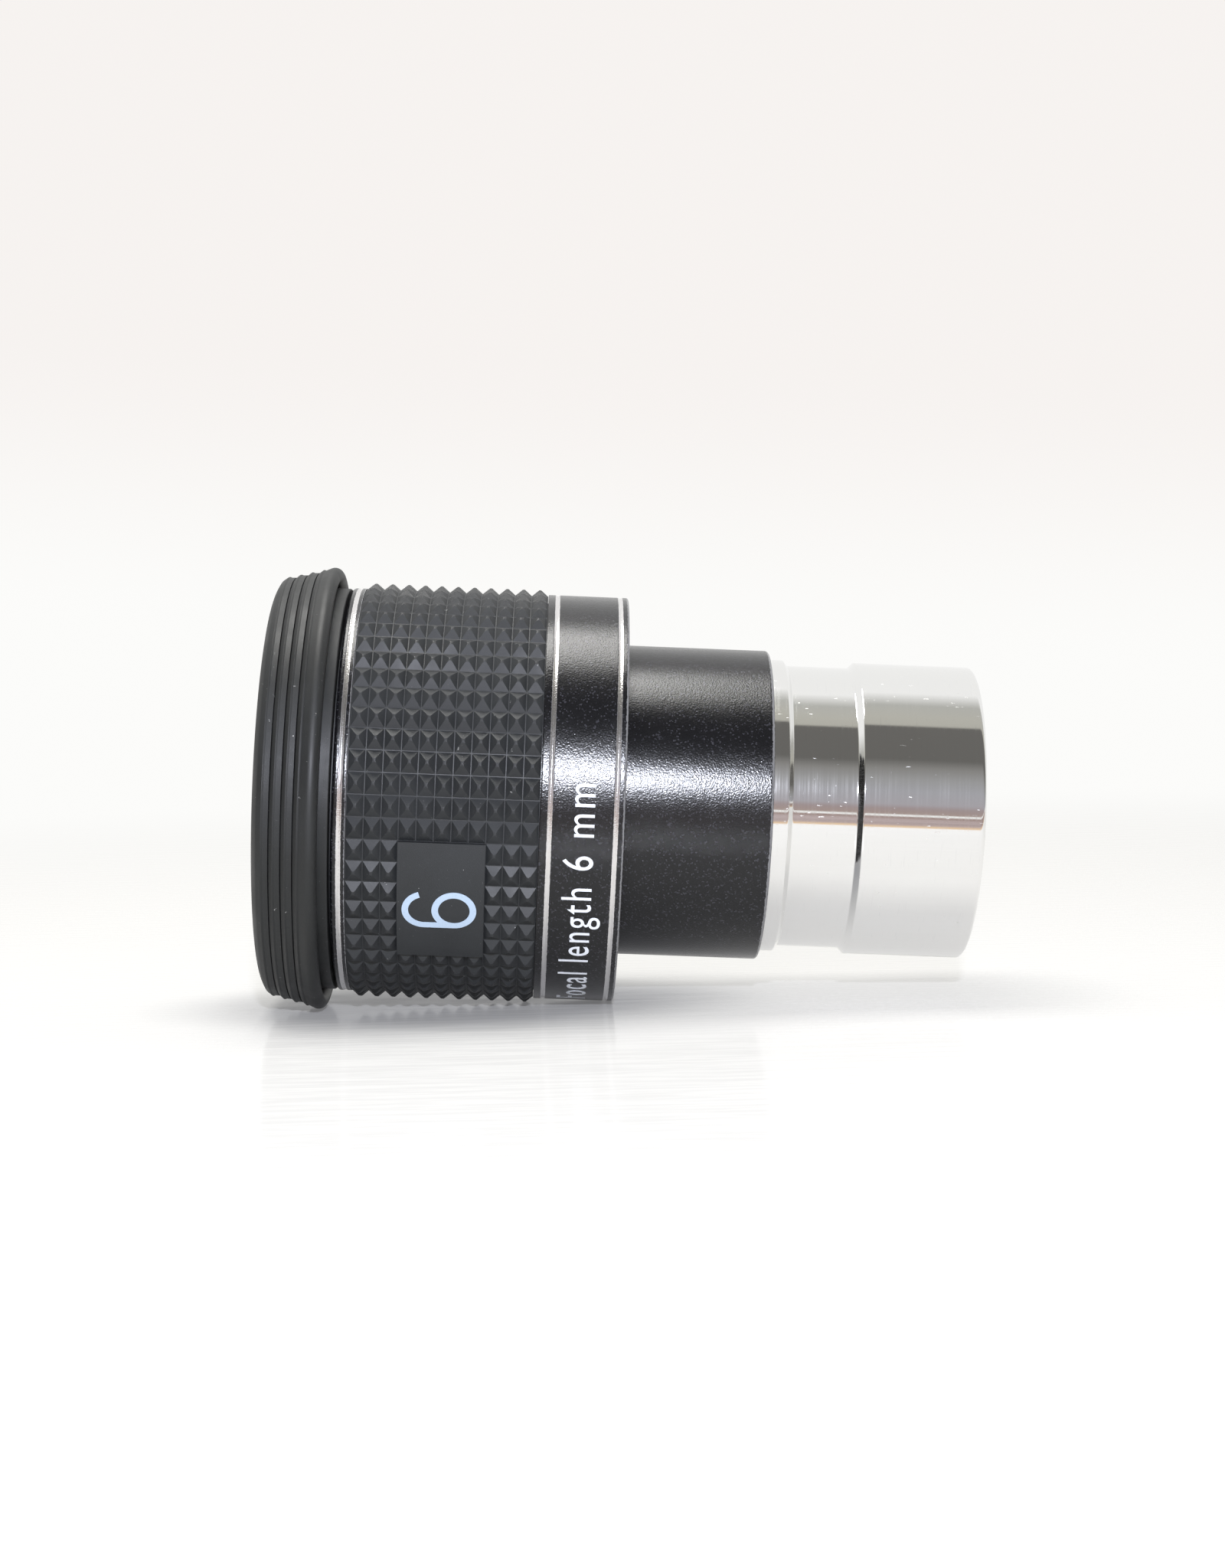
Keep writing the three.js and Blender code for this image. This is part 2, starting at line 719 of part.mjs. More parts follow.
const twisting = new THREE.Group();
twisting.add(
  piece('twist_sleeve', twistSleeve(), blackAnodise),
  piece('rubber_grip', rubberGrip(), rubber),
  piece('eyecup_ring', eyecupRing(), blackAnodise),
  piece('eyecup', eyecup(), rubber),
);
for (let i = 0; i < guideCount; i += 1) {
  const holder = new THREE.Group();
  const screw = piece(`guide_screw_${i + 1}`, guideScrew(), darkSteel);
  screw.rotation.z = -Math.PI / 2;
  holder.rotation.x = -guideAngle(i);
  holder.position.x = screwStation;
  holder.add(screw);
  twisting.add(holder);
}

const eyepiece = new THREE.Group();
eyepiece.add(fixed, lifting, twisting);

export default eyepiece;
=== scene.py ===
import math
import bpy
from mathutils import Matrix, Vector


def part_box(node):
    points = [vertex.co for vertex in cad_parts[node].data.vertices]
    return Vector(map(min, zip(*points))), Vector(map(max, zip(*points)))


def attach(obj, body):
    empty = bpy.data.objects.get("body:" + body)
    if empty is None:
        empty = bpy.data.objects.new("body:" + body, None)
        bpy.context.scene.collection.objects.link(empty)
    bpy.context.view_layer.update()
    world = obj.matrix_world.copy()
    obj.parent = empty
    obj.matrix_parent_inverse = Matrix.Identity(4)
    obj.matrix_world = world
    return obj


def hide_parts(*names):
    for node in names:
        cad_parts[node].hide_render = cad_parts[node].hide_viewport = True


bl_info = {
    "name": "Telescope eyepiece",
    "version": (1, 0, 0),
    "blender": (4, 5, 0),
    "location": "View3D > Sidebar > Eyepiece",
    "description": "Models a push-fit eyepiece with a twist-up eyecup round its fixed frame",
    "category": "Add Mesh",
}

import bpy
from bpy.props import FloatProperty, FloatVectorProperty, IntProperty, PointerProperty, StringProperty
from mathutils import Matrix, Vector

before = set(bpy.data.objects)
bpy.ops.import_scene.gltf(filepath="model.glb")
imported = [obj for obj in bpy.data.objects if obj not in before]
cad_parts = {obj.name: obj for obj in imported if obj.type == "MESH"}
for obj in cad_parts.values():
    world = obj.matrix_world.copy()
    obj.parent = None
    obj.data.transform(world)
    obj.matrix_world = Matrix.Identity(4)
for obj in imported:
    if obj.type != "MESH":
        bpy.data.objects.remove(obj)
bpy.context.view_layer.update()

MM = 0.001
ORIGIN = (0.0, 0.0, 0.0)
AXIS = (1.0, 0.0, 0.0)
ROUND_STEPS = 192
GLASS_STEPS = 96
GUIDES = 3
WELD = 0.0004 * MM
FINE_EDGE = 0.06 * MM
SOFT_EDGE = 0.15 * MM
BACKDROP = (0.972, 0.970, 0.955)
CAMERA_PLACE = (-23.630 * MM, -287.332 * MM, 16.430 * MM)
CAMERA_TURN = (87.054, -2.297, -1.349)


def span(node):
    """The first station, last station and outer radius of a turned piece of the frame."""
    low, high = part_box(node)
    return low.x, high.x, high.z


BARREL_START, BARREL_END, BARREL_RADIUS = span("barrel")
BODY_START, BODY_END, BODY_RADIUS = span("lower_body")
SLEEVE_START, SLEEVE_END, SLEEVE_RADIUS = span("twist_sleeve")
GRIP_START, GRIP_END, GRIP_PEAK = span("rubber_grip")
CUP_START, CUP_END, CUP_RADIUS = span("eyecup")
RING_START, RING_END, RING_RADIUS = span("eyecup_ring")
CELL_START, CELL_END, CELL_RADIUS = span("lens_cell")
EYE_RING_START, EYE_RING_END, LENS_RADIUS = span("eye_lens_ring")
SPACER_START, SPACER_END, SPACER_RADIUS = span("lens_spacer")
STOP_START, STOP_END, STOP_OUTER = span("field_stop")
TUBE_START, TUBE_END, TUBE_THREAD = span("field_lens_tube")
FIELD_RING_START, FIELD_RING_END, FIELD_LENS_RADIUS = span("field_lens_ring")
DAMPER_START, DAMPER_END, DAMPER_RADIUS = span("damping_ring")
HOOK_STATION = SLEEVE_START - 2.32 * MM


def length(name, text, millimetres):
    default = millimetres * MM
    return FloatProperty(name=name, description=text, default=default, unit="LENGTH", precision=5)


def angle(name, text, degrees):
    return FloatProperty(name=name, description=text, default=math.radians(degrees), subtype="ANGLE")


def colour(name, text, *tone):
    return FloatVectorProperty(
        name=name, description=text, default=tone, subtype="COLOR", size=3, min=0.0, max=1.0
    )


def number(name, text, default):
    return FloatProperty(name=name, description=text, default=default)


def count(name, text, default, least=0):
    return IntProperty(name=name, description=text, default=default, min=least)


# ---------------------------------------------------------------- settings


class BarrelSettings(bpy.types.PropertyGroup):
    flange_back: length("Flange back", "Station of the flange's seat in the body", -0.78)
    flange_end: length("Flange end", "Station where the flange ends", 1.59)
    undercut_start: length("Undercut start", "Station where the undercut's floor starts", 2.10)
    undercut_end: length("Undercut end", "Station where the undercut's floor ends", 8.80)
    undercut_ramp: length("Undercut ramp", "Length of the slope out of the undercut", 0.62)
    undercut_depth: length("Undercut depth", "Depth of the undercut", 0.60)
    spigot_step: length("Spigot step", "Step from the barrel down to its spigot", 1.60)
    wall: length("Wall", "Thickness of the barrel's wall", 2.55)
    end_round: length("End round", "Round of the barrel's end", 0.50)
    thread_length: length("Thread length", "Length of the filter thread", 4.80)
    thread_pitch: length("Thread pitch", "Pitch of the filter thread", 0.60)
    thread_depth: length("Thread depth", "Depth of the filter thread", 0.28)
    lead_in: length("Lead-in", "Plain part at each end of the filter thread", 0.45)
    chrome: colour("Chrome", "Colour of the plating", 0.85, 0.847, 0.838)


class BodySettings(bpy.types.PropertyGroup):
    edge: length("Edge", "Bevel of the body's two outer edges", 0.32)
    cell_bore: length("Cell bore", "Radius of the bore that takes the lens cell", 14.58)
    cell_seat: length("Cell seat", "Station of the lens cell's seat", -23.69)
    throat: length("Throat", "Radius of the body's middle bore", 11.98)
    spigot_bore: length("Spigot bore", "Radius of the bore that takes the barrel", 14.33)
    spigot_depth: length("Spigot depth", "Depth of the bore that takes the barrel", 7.42)
    flange_bore: length("Flange bore", "Radius of the seat round the barrel's flange", 15.93)
    flange_sunk: length("Flange depth", "Depth of the seat round the barrel's flange", 0.90)
    groove_radius: length("Groove radius", "Radius of the ball-ended guide grooves", 1.30)
    screw_station: length("Screw station", "Station of the guide screws", -33.97)
    lift: length("Lift", "How far half a turn lifts the sleeve", 9.0)
    run_out: angle("Run-out", "Turn that a groove goes past the screw's travel", 8.0)
    anodise: colour("Anodise", "Colour of the satin black anodise", 0.004, 0.004, 0.005)


class SleeveSettings(bpy.types.PropertyGroup):
    bore: length("Bore", "Radius of the sleeve's bore", 17.08)
    collar_radius: length("Collar radius", "Radius of the collar ahead of the grip", 21.78)
    collar_end: length("Collar end", "Station where the collar ends", -43.57)
    collar_round: length("Collar round", "Round of the collar's edge", 0.35)
    channel_radius: length("Channel radius", "Radius of the grip's channel", 21.0)
    channel_end: length("Channel end", "Station where the grip's channel ends", -24.0)
    line_width: length("Line width", "Width of a bright diamond-cut line", 0.48)
    line_depth: length("Line depth", "Depth of a bright diamond-cut line", 0.12)
    collar_line: length("Collar line", "Station where the collar's line starts", -44.46)
    band_line: length("Band line", "Station where the first line of the band starts", -23.24)
    end_line: length("End line", "Station where the last line starts", -16.55)
    edge: length("Edge", "Bevel of the sleeve's end", 0.22)
    relief: length("Relief", "Radius of the relief behind the guide land", 18.28)
    land: length("Land", "Length of the guide land behind the damping ring", 1.7)
    ring_groove: length("Ring groove", "Radius of the damping ring's groove", 18.38)
    ring_half: length("Ring groove half width", "Half the width of the damping ring's groove", 1.0)
    counterbore: length("Counterbore", "Radius of the eyecup ring's counterbore", 19.0)
    counterbore_depth: length("Counterbore depth", "Depth of the eyecup ring's counterbore", 7.0)
    screw_hole: length("Screw hole", "Radius of a guide screw's hole", 1.65)
    bright: colour("Bright cut", "Colour of the bright-cut aluminium", 0.90, 0.89, 0.89)


class GripSettings(bpy.types.PropertyGroup):
    columns: count("Columns", "Pyramids along the grip", 11, 1)
    rows: count("Rows", "Pyramids round the grip", 60, 3)
    valley: length("Valley radius", "Radius of the valleys between pyramids", 21.75)
    bore: length("Bore", "Radius of the grip's bore", 21.08)
    valley_width: length("Valley width", "Half the width of the flat line between pyramids", 0.045)
    tip_round: length("Tip round", "How far a pyramid's tip is worn round", 0.40)
    tip_rise: length("Tip rise", "How far a sharp tip would stand over the round one", 0.12)
    panel_first: count("Panel first column", "First column of the panel", 3)
    panel_columns: count("Panel columns", "Columns that the panel covers", 5)
    panel_radius: length("Panel radius", "Radius of the label panel", 22.28)
    panel_edge: length("Panel edge", "Width of the panel's edge", 0.10)
    panel_top: angle("Panel top", "Angle of the panel's upper edge", -10.0)
    panel_rows: count("Panel rows", "Rows that the panel covers", 6)
    rubber: colour("Rubber", "Colour of the grip's rubber", 0.0118, 0.0132, 0.0145)


class EyecupSettings(bpy.types.PropertyGroup):
    crest_radius: length("Crest radius", "Radius of the folded eyecup's crest", 20.40)
    nose: length("Nose", "How far the nose runs back from the crest", 0.65)
    nose_rise: length("Nose rise", "How far the nose rises", 1.95)
    first_rib: length("First rib", "From the crest to the first rib's tip", 1.15)
    first_radius: length("First rib radius", "Radius of the first rib", 22.72)
    rib_run: length("Rib run", "From one rib to the next", 1.23)
    rib_step: length("Rib step", "Rise from one rib to the next", 0.30)
    rib_foot: length("Rib foot", "From a rib's foot to its tip", 0.42)
    rib_height: length("Rib height", "Height of a rib above its foot", 0.36)
    rib_round: length("Rib round", "Round of a rib's tip", 0.07)
    notch: length("Notch", "Depth of the notch at a rib's foot", 0.20)
    ribs: count("Ribs", "Number of ribs", 4, 1)
    bead_station: length("Bead station", "Station of the bead's middle", -47.10)
    bead_radius: length("Bead radius", "Radius of the bead's section", 0.85)
    crease: length("Crease", "From the crest to the crease's middle", 1.7)
    crease_radius: length("Crease radius", "Radius of the crease's section", 0.20)
    neck: length("Neck", "Radius of the neck", 21.70)
    neck_length: length("Neck length", "Length of the neck", 1.35)
    hook: length("Hook", "Height of the hook that holds the eyecup on its ring", 0.45)
    bore: length("Bore", "Radius of the bore over the eyecup ring", 19.68)
    lip: length("Lip", "Radius of the lip ahead of the eyecup ring", 18.78)
    throat: length("Throat", "Length of the curve from the crest to the lip", 1.4)
    ring_bore: length("Ring bore", "Radius of the eyecup ring's bore", 17.33)
    ring_thread: length("Ring thread", "Radius of the eyecup ring's thread", 18.92)
    rubber: colour("Rubber", "Colour of the eyecup's rubber", 0.0062, 0.0070, 0.0069)


class OpticsSettings(bpy.types.PropertyGroup):
    matt_black: colour("Matt black", "Colour of the blackened metal", 0.012, 0.012, 0.013)
    mouth_bevel: length("Mouth bevel", "Bevel of the lens cell's mouth", 1.50)
    lens_seat: length("Lens seat", "Radius of the lens cell's seat", 11.60)
    seat_depth: length("Seat depth", "Depth of the lip behind the lens cell's seat", 1.80)
    lip: length("Lip", "Inner radius of the lip and the rings round the eye lenses", 10.05)
    cell_body: length("Cell body", "Radius of the lens cell behind its flange", 14.50)
    flange: length("Flange", "Thickness of the lens cell's flange", 0.55)
    slot_width: length("Slot width", "Width of a spanner slot", 1.10)
    slot_depth: length("Slot depth", "Depth of a spanner slot", 0.90)
    stop_opening: length("Stop opening", "Radius of the field stop's opening", 6.0)
    stop_bevel: length("Stop bevel", "Bevel of the field stop's knife edge", 0.8)
    tube_outer: length("Tube outside", "Radius of the field lens tube", 10.50)
    tube_thread: length("Tube thread", "Length of the field lens tube's thread", 4.20)
    tube_seat: length("Tube seat", "Radius of the field lenses' seat", 9.30)
    tube_seat_start: length("Tube seat start", "Station of the field lenses' seat", 6.60)
    tube_bore: length("Tube bore", "Radius of the field lens tube's bore", 8.80)
    thread_pitch: length("Thread pitch", "Pitch of the threads that join the cells", 0.75)
    thread_depth: length("Thread depth", "Depth of the threads that join the cells", 0.20)
    baffle_pitch: length("Baffle pitch", "Pitch of the grooves that catch stray light", 0.80)
    baffle_depth: length("Baffle depth", "Depth of the grooves that catch stray light", 0.25)
    tint: colour("Coating", "Colour that the lens coating reflects", 0.35, 0.95, 0.55)


class LetteringSettings(bpy.types.PropertyGroup):
    numeral_height: length("Numeral height", "Height of the panel's numeral", 7.6)
    numeral_width: length("Numeral width", "Width of the panel's numeral", 4.4)
    numeral_stroke: length("Numeral stroke", "Width of the numeral's stroke", 0.67)
    numeral_station: length("Numeral station", "Station of the numeral's middle", -33.9)
    numeral_angle: angle("Numeral angle", "Angle of the numeral's middle", -29.35)
    words: StringProperty(name="Band", description="What the band says", default="Focal length 6 mm")
    band_height: length("Band height", "Height of the band's figures", 3.05)
    band_station: length("Band station", "Station of the middle of the band's figures", -20.0)
    band_end: angle("Band end", "Angle where the band's line of figures ends", 7.0)
    band_squeeze: number("Band squeeze", "How narrow the figures are drawn", 0.80)
    band_spacing: number("Band spacing", "Space between the figures", 1.18)
    raised: length("Print thickness", "How far the print stands proud", 0.018)
    band_ink: colour("Band ink", "Colour of the band's figures", 0.70, 0.73, 0.78)
    numeral_ink: colour("Numeral ink", "Colour of the numeral", 0.40, 0.50, 0.62)


class StageSettings(bpy.types.PropertyGroup):
    floor_height: length("Floor height", "Height of the floor under the shoulder", -20.96)
    floor_slope: number("Floor slope", "Rise of the floor along the axis", 0.0625)
    floor_radius: length("Floor radius", "Radius of the floor", 3000.0)
    floor_glow: colour("Floor glow", "Light that the room adds to the board", 0.48, 0.476, 0.465)
    floor_colour: colour("Floor colour", "Colour of the floor", 0.335, 0.333, 0.327)
    lens: number("Lens", "Focal length of the camera in millimetres", 60.647)


SETTINGS = {
    "barrel": BarrelSettings,
    "body": BodySettings,
    "sleeve": SleeveSettings,
    "grip": GripSettings,
    "eyecup": EyecupSettings,
    "optics": OpticsSettings,
    "lettering": LetteringSettings,
    "stage": StageSettings,
}


def settings(name):
    return getattr(bpy.context.scene, "eyepiece_" + name)


# ---------------------------------------------------------------- modelling helpers


def stop_editing():
    bpy.ops.object.mode_set(mode="OBJECT")


def deselect():
    if bpy.context.object is not None and bpy.context.object.mode == "EDIT":
        stop_editing()
    bpy.ops.object.select_all(action="DESELECT")


def choose(piece):
    """Makes a piece the active one and the only one selected."""
    deselect()
    piece.select_set(True)
    bpy.context.view_layer.objects.active = piece


def edit(piece):
    """Opens a piece in edit mode with all of it selected."""
    choose(piece)
    bpy.ops.object.mode_set(mode="EDIT")
    bpy.ops.mesh.select_all(action="SELECT")


def weld():
    """Merges the doubles of the piece in edit mode, turns its faces outwards and leaves edit mode."""
    bpy.ops.mesh.select_all(action="SELECT")
    bpy.ops.mesh.remove_doubles(threshold=WELD)
    bpy.ops.mesh.normals_make_consistent(inside=False)
    stop_editing()


def applied(name=None, scale=None):
    """The new primitive, with its place, turn and size moved into its mesh."""
    piece = bpy.context.object
    if name:
        piece.name = piece.data.name = name
    if scale:
        piece.scale = scale
    bpy.ops.object.transform_apply()
    return piece


def pick(piece, kind, test):
    """Selects the vertices, edges or faces of a piece in edit mode that pass a test, and nothing else."""
    bpy.ops.mesh.select_mode(type={"vertices": "VERT", "edges": "EDGE", "polygons": "FACE"}[kind])
    bpy.ops.mesh.select_all(action="DESELECT")
    stop_editing()
    for element in getattr(piece.data, kind):
        element.select = bool(test(element))
    bpy.ops.object.mode_set(mode="EDIT")


def turn(value):
    """Turns the selection round the axis. A positive angle takes the front upwards."""
    bpy.ops.transform.rotate(value=value, orient_axis="X", center_override=ORIGIN)


def extrude(*shift):
    bpy.ops.mesh.extrude_region_move(TRANSFORM_OT_translate={"value": shift})


def off_axis(point):
    return math.hypot(point.y, point.z)


def angle_of(point):
    """Angle round the axis, from the front upwards."""
    return math.atan2(point.z, -point.y)


def rounded(corners):
    """Points of an outline of (station, radius) corners. A third number rounds the corner by that radius."""
    points = []
    for i, corner in enumerate(corners):
        here = Vector(corner[:2])
        if len(corner) == 2:
            points.append(here)
            continue
        size = corner[2]
        before = (Vector(corners[i - 1][:2]) - here).normalized()
        after = (Vector(corners[(i + 1) % len(corners)][:2]) - here).normalized()
        half = before.angle(after) / 2
        reach = size / math.tan(half)
        centre = here + (before + after).normalized() * (size / math.sin(half))
        start = here + before * reach - centre
        end = here + after * reach - centre
        steps = 2 if size < 0.1 * MM else 5
        for k in range(steps + 1):
            points.append(centre + start.lerp(end, k / steps).normalized() * size)
    return points


def arc(station, radius, size, first, last, steps):
    """Points on an arc of an outline, with its angles from the +X direction in degrees."""
    turns = [math.radians(first + (last - first) * k / steps) for k in range(steps + 1)]
    return [(station + size * math.cos(t), radius + size * math.sin(t)) for t in turns]


def ridges(start, end, radius, depth, pitch):
    """Points of V-shaped turned grooves between two stations, a negative depth being into the metal."""
    total = max(1, round(abs(end - start) / pitch))
    step = (end - start) / total
    points = []
    for i in range(total):
        points.append((start + i * step, radius))
        points.append((start + (i + 0.5) * step, radius + depth))
    points.append((end, radius))
    return points


def surface_rise(radius, edge, bulge):
    """Height of a spherical lens surface over its edge plane."""
    sphere = (edge**2 + bulge**2) / (2 * abs(bulge))
    return math.copysign(math.sqrt(sphere**2 - radius**2) - (sphere - abs(bulge)), bulge)


def supported(points, closed):
    """Adds a point close to each end of every long straight, which keeps smooth shading in the corners."""
    near = 0.10 * MM
    outline = []
    for i, point in enumerate(points):
        outline.append(point)
        if i == len(points) - 1 and not closed:
            break
        run = points[(i + 1) % len(points)] - point
        if run.length > 4 * near:
            outline.append(point + run.normalized() * near)
            outline.append(point + run - run.normalized() * near)
    return outline


def turned(name, corners, steps=ROUND_STEPS, closed=True):
    """A piece turned from an outline: one point is extruded round the outline and spun about the axis."""
    points = supported(rounded(corners), closed)
    if closed:
        points.append(points[0])
    deselect()
    bpy.ops.mesh.primitive_plane_add(size=MM, location=(points[0][0], 0.0, points[0][1]))
    piece = applied(name)
    edit(piece)
    bpy.ops.mesh.select_mode(type="VERT")
    bpy.ops.mesh.merge(type="CENTER")
    for before, after in zip(points, points[1:]):
        shift = (after[0] - before[0], 0.0, after[1] - before[1])
        bpy.ops.mesh.extrude_vertices_move(TRANSFORM_OT_translate={"value": shift})
    bpy.ops.mesh.select_all(action="SELECT")
    bpy.ops.mesh.remove_doubles(threshold=WELD)
    bpy.ops.mesh.spin(steps=steps, angle=2 * math.pi, center=ORIGIN, axis=AXIS)
    weld()
    return piece


def combine(piece, others, operation):
    """Cuts the others out of a piece or joins them to it, and removes them."""
    for other in others:
        choose(piece)
        bpy.ops.object.modifier_add(type="BOOLEAN")
        modifier = piece.modifiers[-1]
        modifier.operation = operation
        modifier.solver = "EXACT"
        modifier.object = other
        bpy.ops.object.modifier_apply(modifier=modifier.name)
        bpy.data.objects.remove(other, do_unlink=True)


def finished(piece, body, look, smooth, node=None):
    """Shades a piece, gives it its material, ties it to its body and hides the node of the frame that it
    replaces.
    """
    choose(piece)
    bpy.ops.object.shade_smooth_by_angle(angle=math.radians(smooth))
    if look:
        piece.data.materials.append(look)
    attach(piece, body)
    if node:
        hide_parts(node)


def paint(piece, first, second, test):
    """Gives the faces whose middle passes a test the second material, and all others the first."""
    piece.data.materials.append(first)
    piece.data.materials.append(second)
    for face in piece.data.polygons:
        face.material_index = 1 if test(face.center) else 0


# ---------------------------------------------------------------- node helpers


def fill(socket, value):
    """Links an input socket to an output, or sets its plain value. A colour is three numbers."""
    if isinstance(value, bpy.types.NodeSocket):
        socket.id_data.links.new(value, socket)
    elif socket.type == "RGBA":
        socket.default_value = (*value, 1.0)
    else:
        socket.default_value = value


def feed(node, **sockets):
    """Fills input sockets by name, with _ for a space."""
    for key, value in sockets.items():
        fill(node.inputs[key.replace("_", " ")], value)


def add(tree, kind, sockets=None, **values):
    """Adds a node, sets its values and fills its input sockets."""
    made = tree.nodes.new(kind)
    for key, value in values.items():
        setattr(made, key, value)
    for key, value in (sockets or {}).items():
        fill(made.inputs[key], value)
    return made


def maths(tree, operation, *values):
    return add(tree, "ShaderNodeMath", dict(enumerate(values)), operation=operation).outputs[0]


def vector_maths(tree, operation, output, *values):
    sockets = dict(enumerate(values))
    return add(tree, "ShaderNodeVectorMath", sockets, operation=operation).outputs[output]


def times(tree, value, factor):
    return maths(tree, "MULTIPLY", value, factor)


def stretched(tree, vector, factors):
    return vector_maths(tree, "MULTIPLY", "Vector", vector, factors)


def between(tree, value, low, high, to_low=0.0, to_high=1.0):
    """Maps a value smoothly from one range to another and keeps it inside."""
    sockets = {"Value": value, "From Min": low, "From Max": high, "To Min": to_low, "To Max": to_high}
    return add(tree, "ShaderNodeMapRange", sockets, interpolation_type="SMOOTHSTEP").outputs["Result"]


def blend_value(tree, share, first, second):
    return add(tree, "ShaderNodeMix", {0: share, 2: first, 3: second}, data_type="FLOAT").outputs[0]


def blend_colour(tree, share, first, second):
    return add(tree, "ShaderNodeMix", {0: share, 6: first, 7: second}, data_type="RGBA").outputs[2]


def tinted(tree, look, mask, share, tone):
    """Mixes a share of a tone into a look where a mask is."""
    return blend_colour(tree, times(tree, mask, share), look, tone)


def noise(tree, vector, scale, detail=2.0, rough=0.5):
    sockets = {"Vector": vector, "Scale": scale, "Detail": detail, "Roughness": rough}
    return add(tree, "ShaderNodeTexNoise", sockets).outputs["Fac"]


def cells(tree, vector, scale):
    """Voronoi cells: the distance from each one's middle, and three chance values for it."""
    made = add(tree, "ShaderNodeTexVoronoi", {"Vector": vector, "Scale": scale}).outputs
    return made["Distance"], add(tree, "ShaderNodeSeparateColor", {0: made["Color"]}).outputs


def node_group(name, inputs, outputs):
    """A group with number inputs, plus the Object coordinates turned from metres to millimetres."""
    group = bpy.data.node_groups.new(name, "ShaderNodeTree")
    group.interface.new_socket("Vector", in_out="INPUT", socket_type="NodeSocketVector")
    for label, default in inputs.items():
        socket = group.interface.new_socket(label, in_out="INPUT", socket_type="NodeSocketFloat")
        socket.default_value = default
    for label in outputs:
        group.interface.new_socket(label, in_out="OUTPUT", socket_type="NodeSocketFloat")
    start = group.nodes.new("NodeGroupInput").outputs
    place = stretched(group, start["Vector"], (1 / MM,) * 3)
    return group, start, group.nodes.new("NodeGroupOutput"), place


def ring_group():
    """A ring round the axis at a station, with ragged edges."""
    inputs = {"Station": 0.0, "Half Width": 0.2, "Ragged": 0.05}
    group, start, end, place = node_group("Ring mask", inputs, ["Mask"])
    station = add(group, "ShaderNodeSeparateXYZ", {0: place}).outputs[0]
    wobble = maths(group, "SUBTRACT", noise(group, place, 2.6, 5.0, 0.75), 0.5)
    wobble = times(group, wobble, start["Ragged"])
    away = maths(group, "ABSOLUTE", maths(group, "SUBTRACT", station, start["Station"]))
    away = maths(group, "ADD", away, wobble)
    blur = 0.02
    inner = maths(group, "SUBTRACT", start["Half Width"], blur)
    feed(end, Mask=between(group, away, inner, maths(group, "ADD", inner, 2 * blur), 1.0, 0.0))
    return group


def turning_group():
    """Marks of a turning tool: lines that run round the axis, and a few bright hairlines."""
    inputs = {"Lines Per Mm": 8.0, "Drift": 0.12}
    group, start, end, place = node_group("Turning marks", inputs, ["Height", "Hairline"])
    drift = start["Drift"]
    factors = add(group, "ShaderNodeCombineXYZ", {0: start["Lines Per Mm"], 1: drift, 2: drift})
    lines = noise(group, stretched(group, place, factors.outputs[0]), 1.0, 3.0, 0.65)
    fine = noise(group, stretched(group, place, (14.0, 0.35, 0.35)), 1.0, 2.0, 0.6)
    feed(end, Height=lines, Hairline=between(group, fine, 0.66, 0.74))
    return group


def grain_group():
    """Fine grain of a bead-blasted or moulded surface."""
    group, start, end, place = node_group("Fine grain", {"Size": 0.12}, ["Height", "Fleck"])
    scale = maths(group, "DIVIDE", 1.0, start["Size"])
    chance = cells(group, place, scale)[1][0]
    feed(end, Height=noise(group, place, scale, 1.0, 0.5), Fleck=between(group, chance, 0.86, 0.98))
    return group


def dust_group():
    """Loose specks of dust."""
    inputs = {"Spacing": 1.2, "Speck Size": 0.1, "Share": 0.3}
    group, start, end, place = node_group("Dust specks", inputs, ["Mask"])
    warp = add(group, "ShaderNodeTexNoise", {"Vector": place, "Scale": 3.0}).outputs["Color"]
    place = vector_maths(group, "ADD", "Vector", place, warp)
    scale = maths(group, "DIVIDE", 1.0, start["Spacing"])
    distance, chance = cells(group, place, scale)
    size = times(group, times(group, start["Speck Size"], scale), chance[0])
    inside = maths(group, "LESS_THAN", distance, size)
    kept = maths(group, "LESS_THAN", chance[1], start["Share"])
    feed(end, Mask=times(group, inside, kept))
    return group


def handling_group():
    """Broad uneven patches from handling and wiping."""
    group, start, end, place = node_group("Handling marks", {"Patch Size": 6.0}, ["Value"])
    scale = maths(group, "DIVIDE", 1.0, start["Patch Size"])
    feed(end, Value=between(group, noise(group, place, scale, 4.0, 0.6), 0.3, 0.7))
    return group


GROUPS = {}
GROUP_MAKERS = {
    "ring": ring_group,
    "turning": turning_group,
    "grain": grain_group,
    "dust": dust_group,
    "handling": handling_group,
}


def effect(tree, name, vector, **sockets):
    """Places a shared effect in a material, with its own values in millimetres."""
    if name not in GROUPS:
        GROUPS[name] = GROUP_MAKERS[name]()
    made = add(tree, "ShaderNodeGroup", node_tree=GROUPS[name])
    feed(made, Vector=vector, **sockets)
    return made.outputs


def new_material(name, **plain):
    """A material with its shader, plus the Object coordinates to work from. Plain values go on the shader."""
    material = bpy.data.materials.new(name)
    material.use_nodes = True
    tree = material.node_tree
    shader = tree.nodes["Principled BSDF"]
    feed(shader, **plain)
    return material, tree, shader, tree.nodes.new("ShaderNodeTexCoord").outputs["Object"]


def bump(tree, shader, height, distance):
    """Feeds the shader's normal from a height of so many metres."""
    sockets = {"Height": height, "Distance": distance, "Strength": 1.0}
    feed(shader, Normal=add(tree, "ShaderNodeBump", sockets).outputs["Normal"])


# ---------------------------------------------------------------- materials


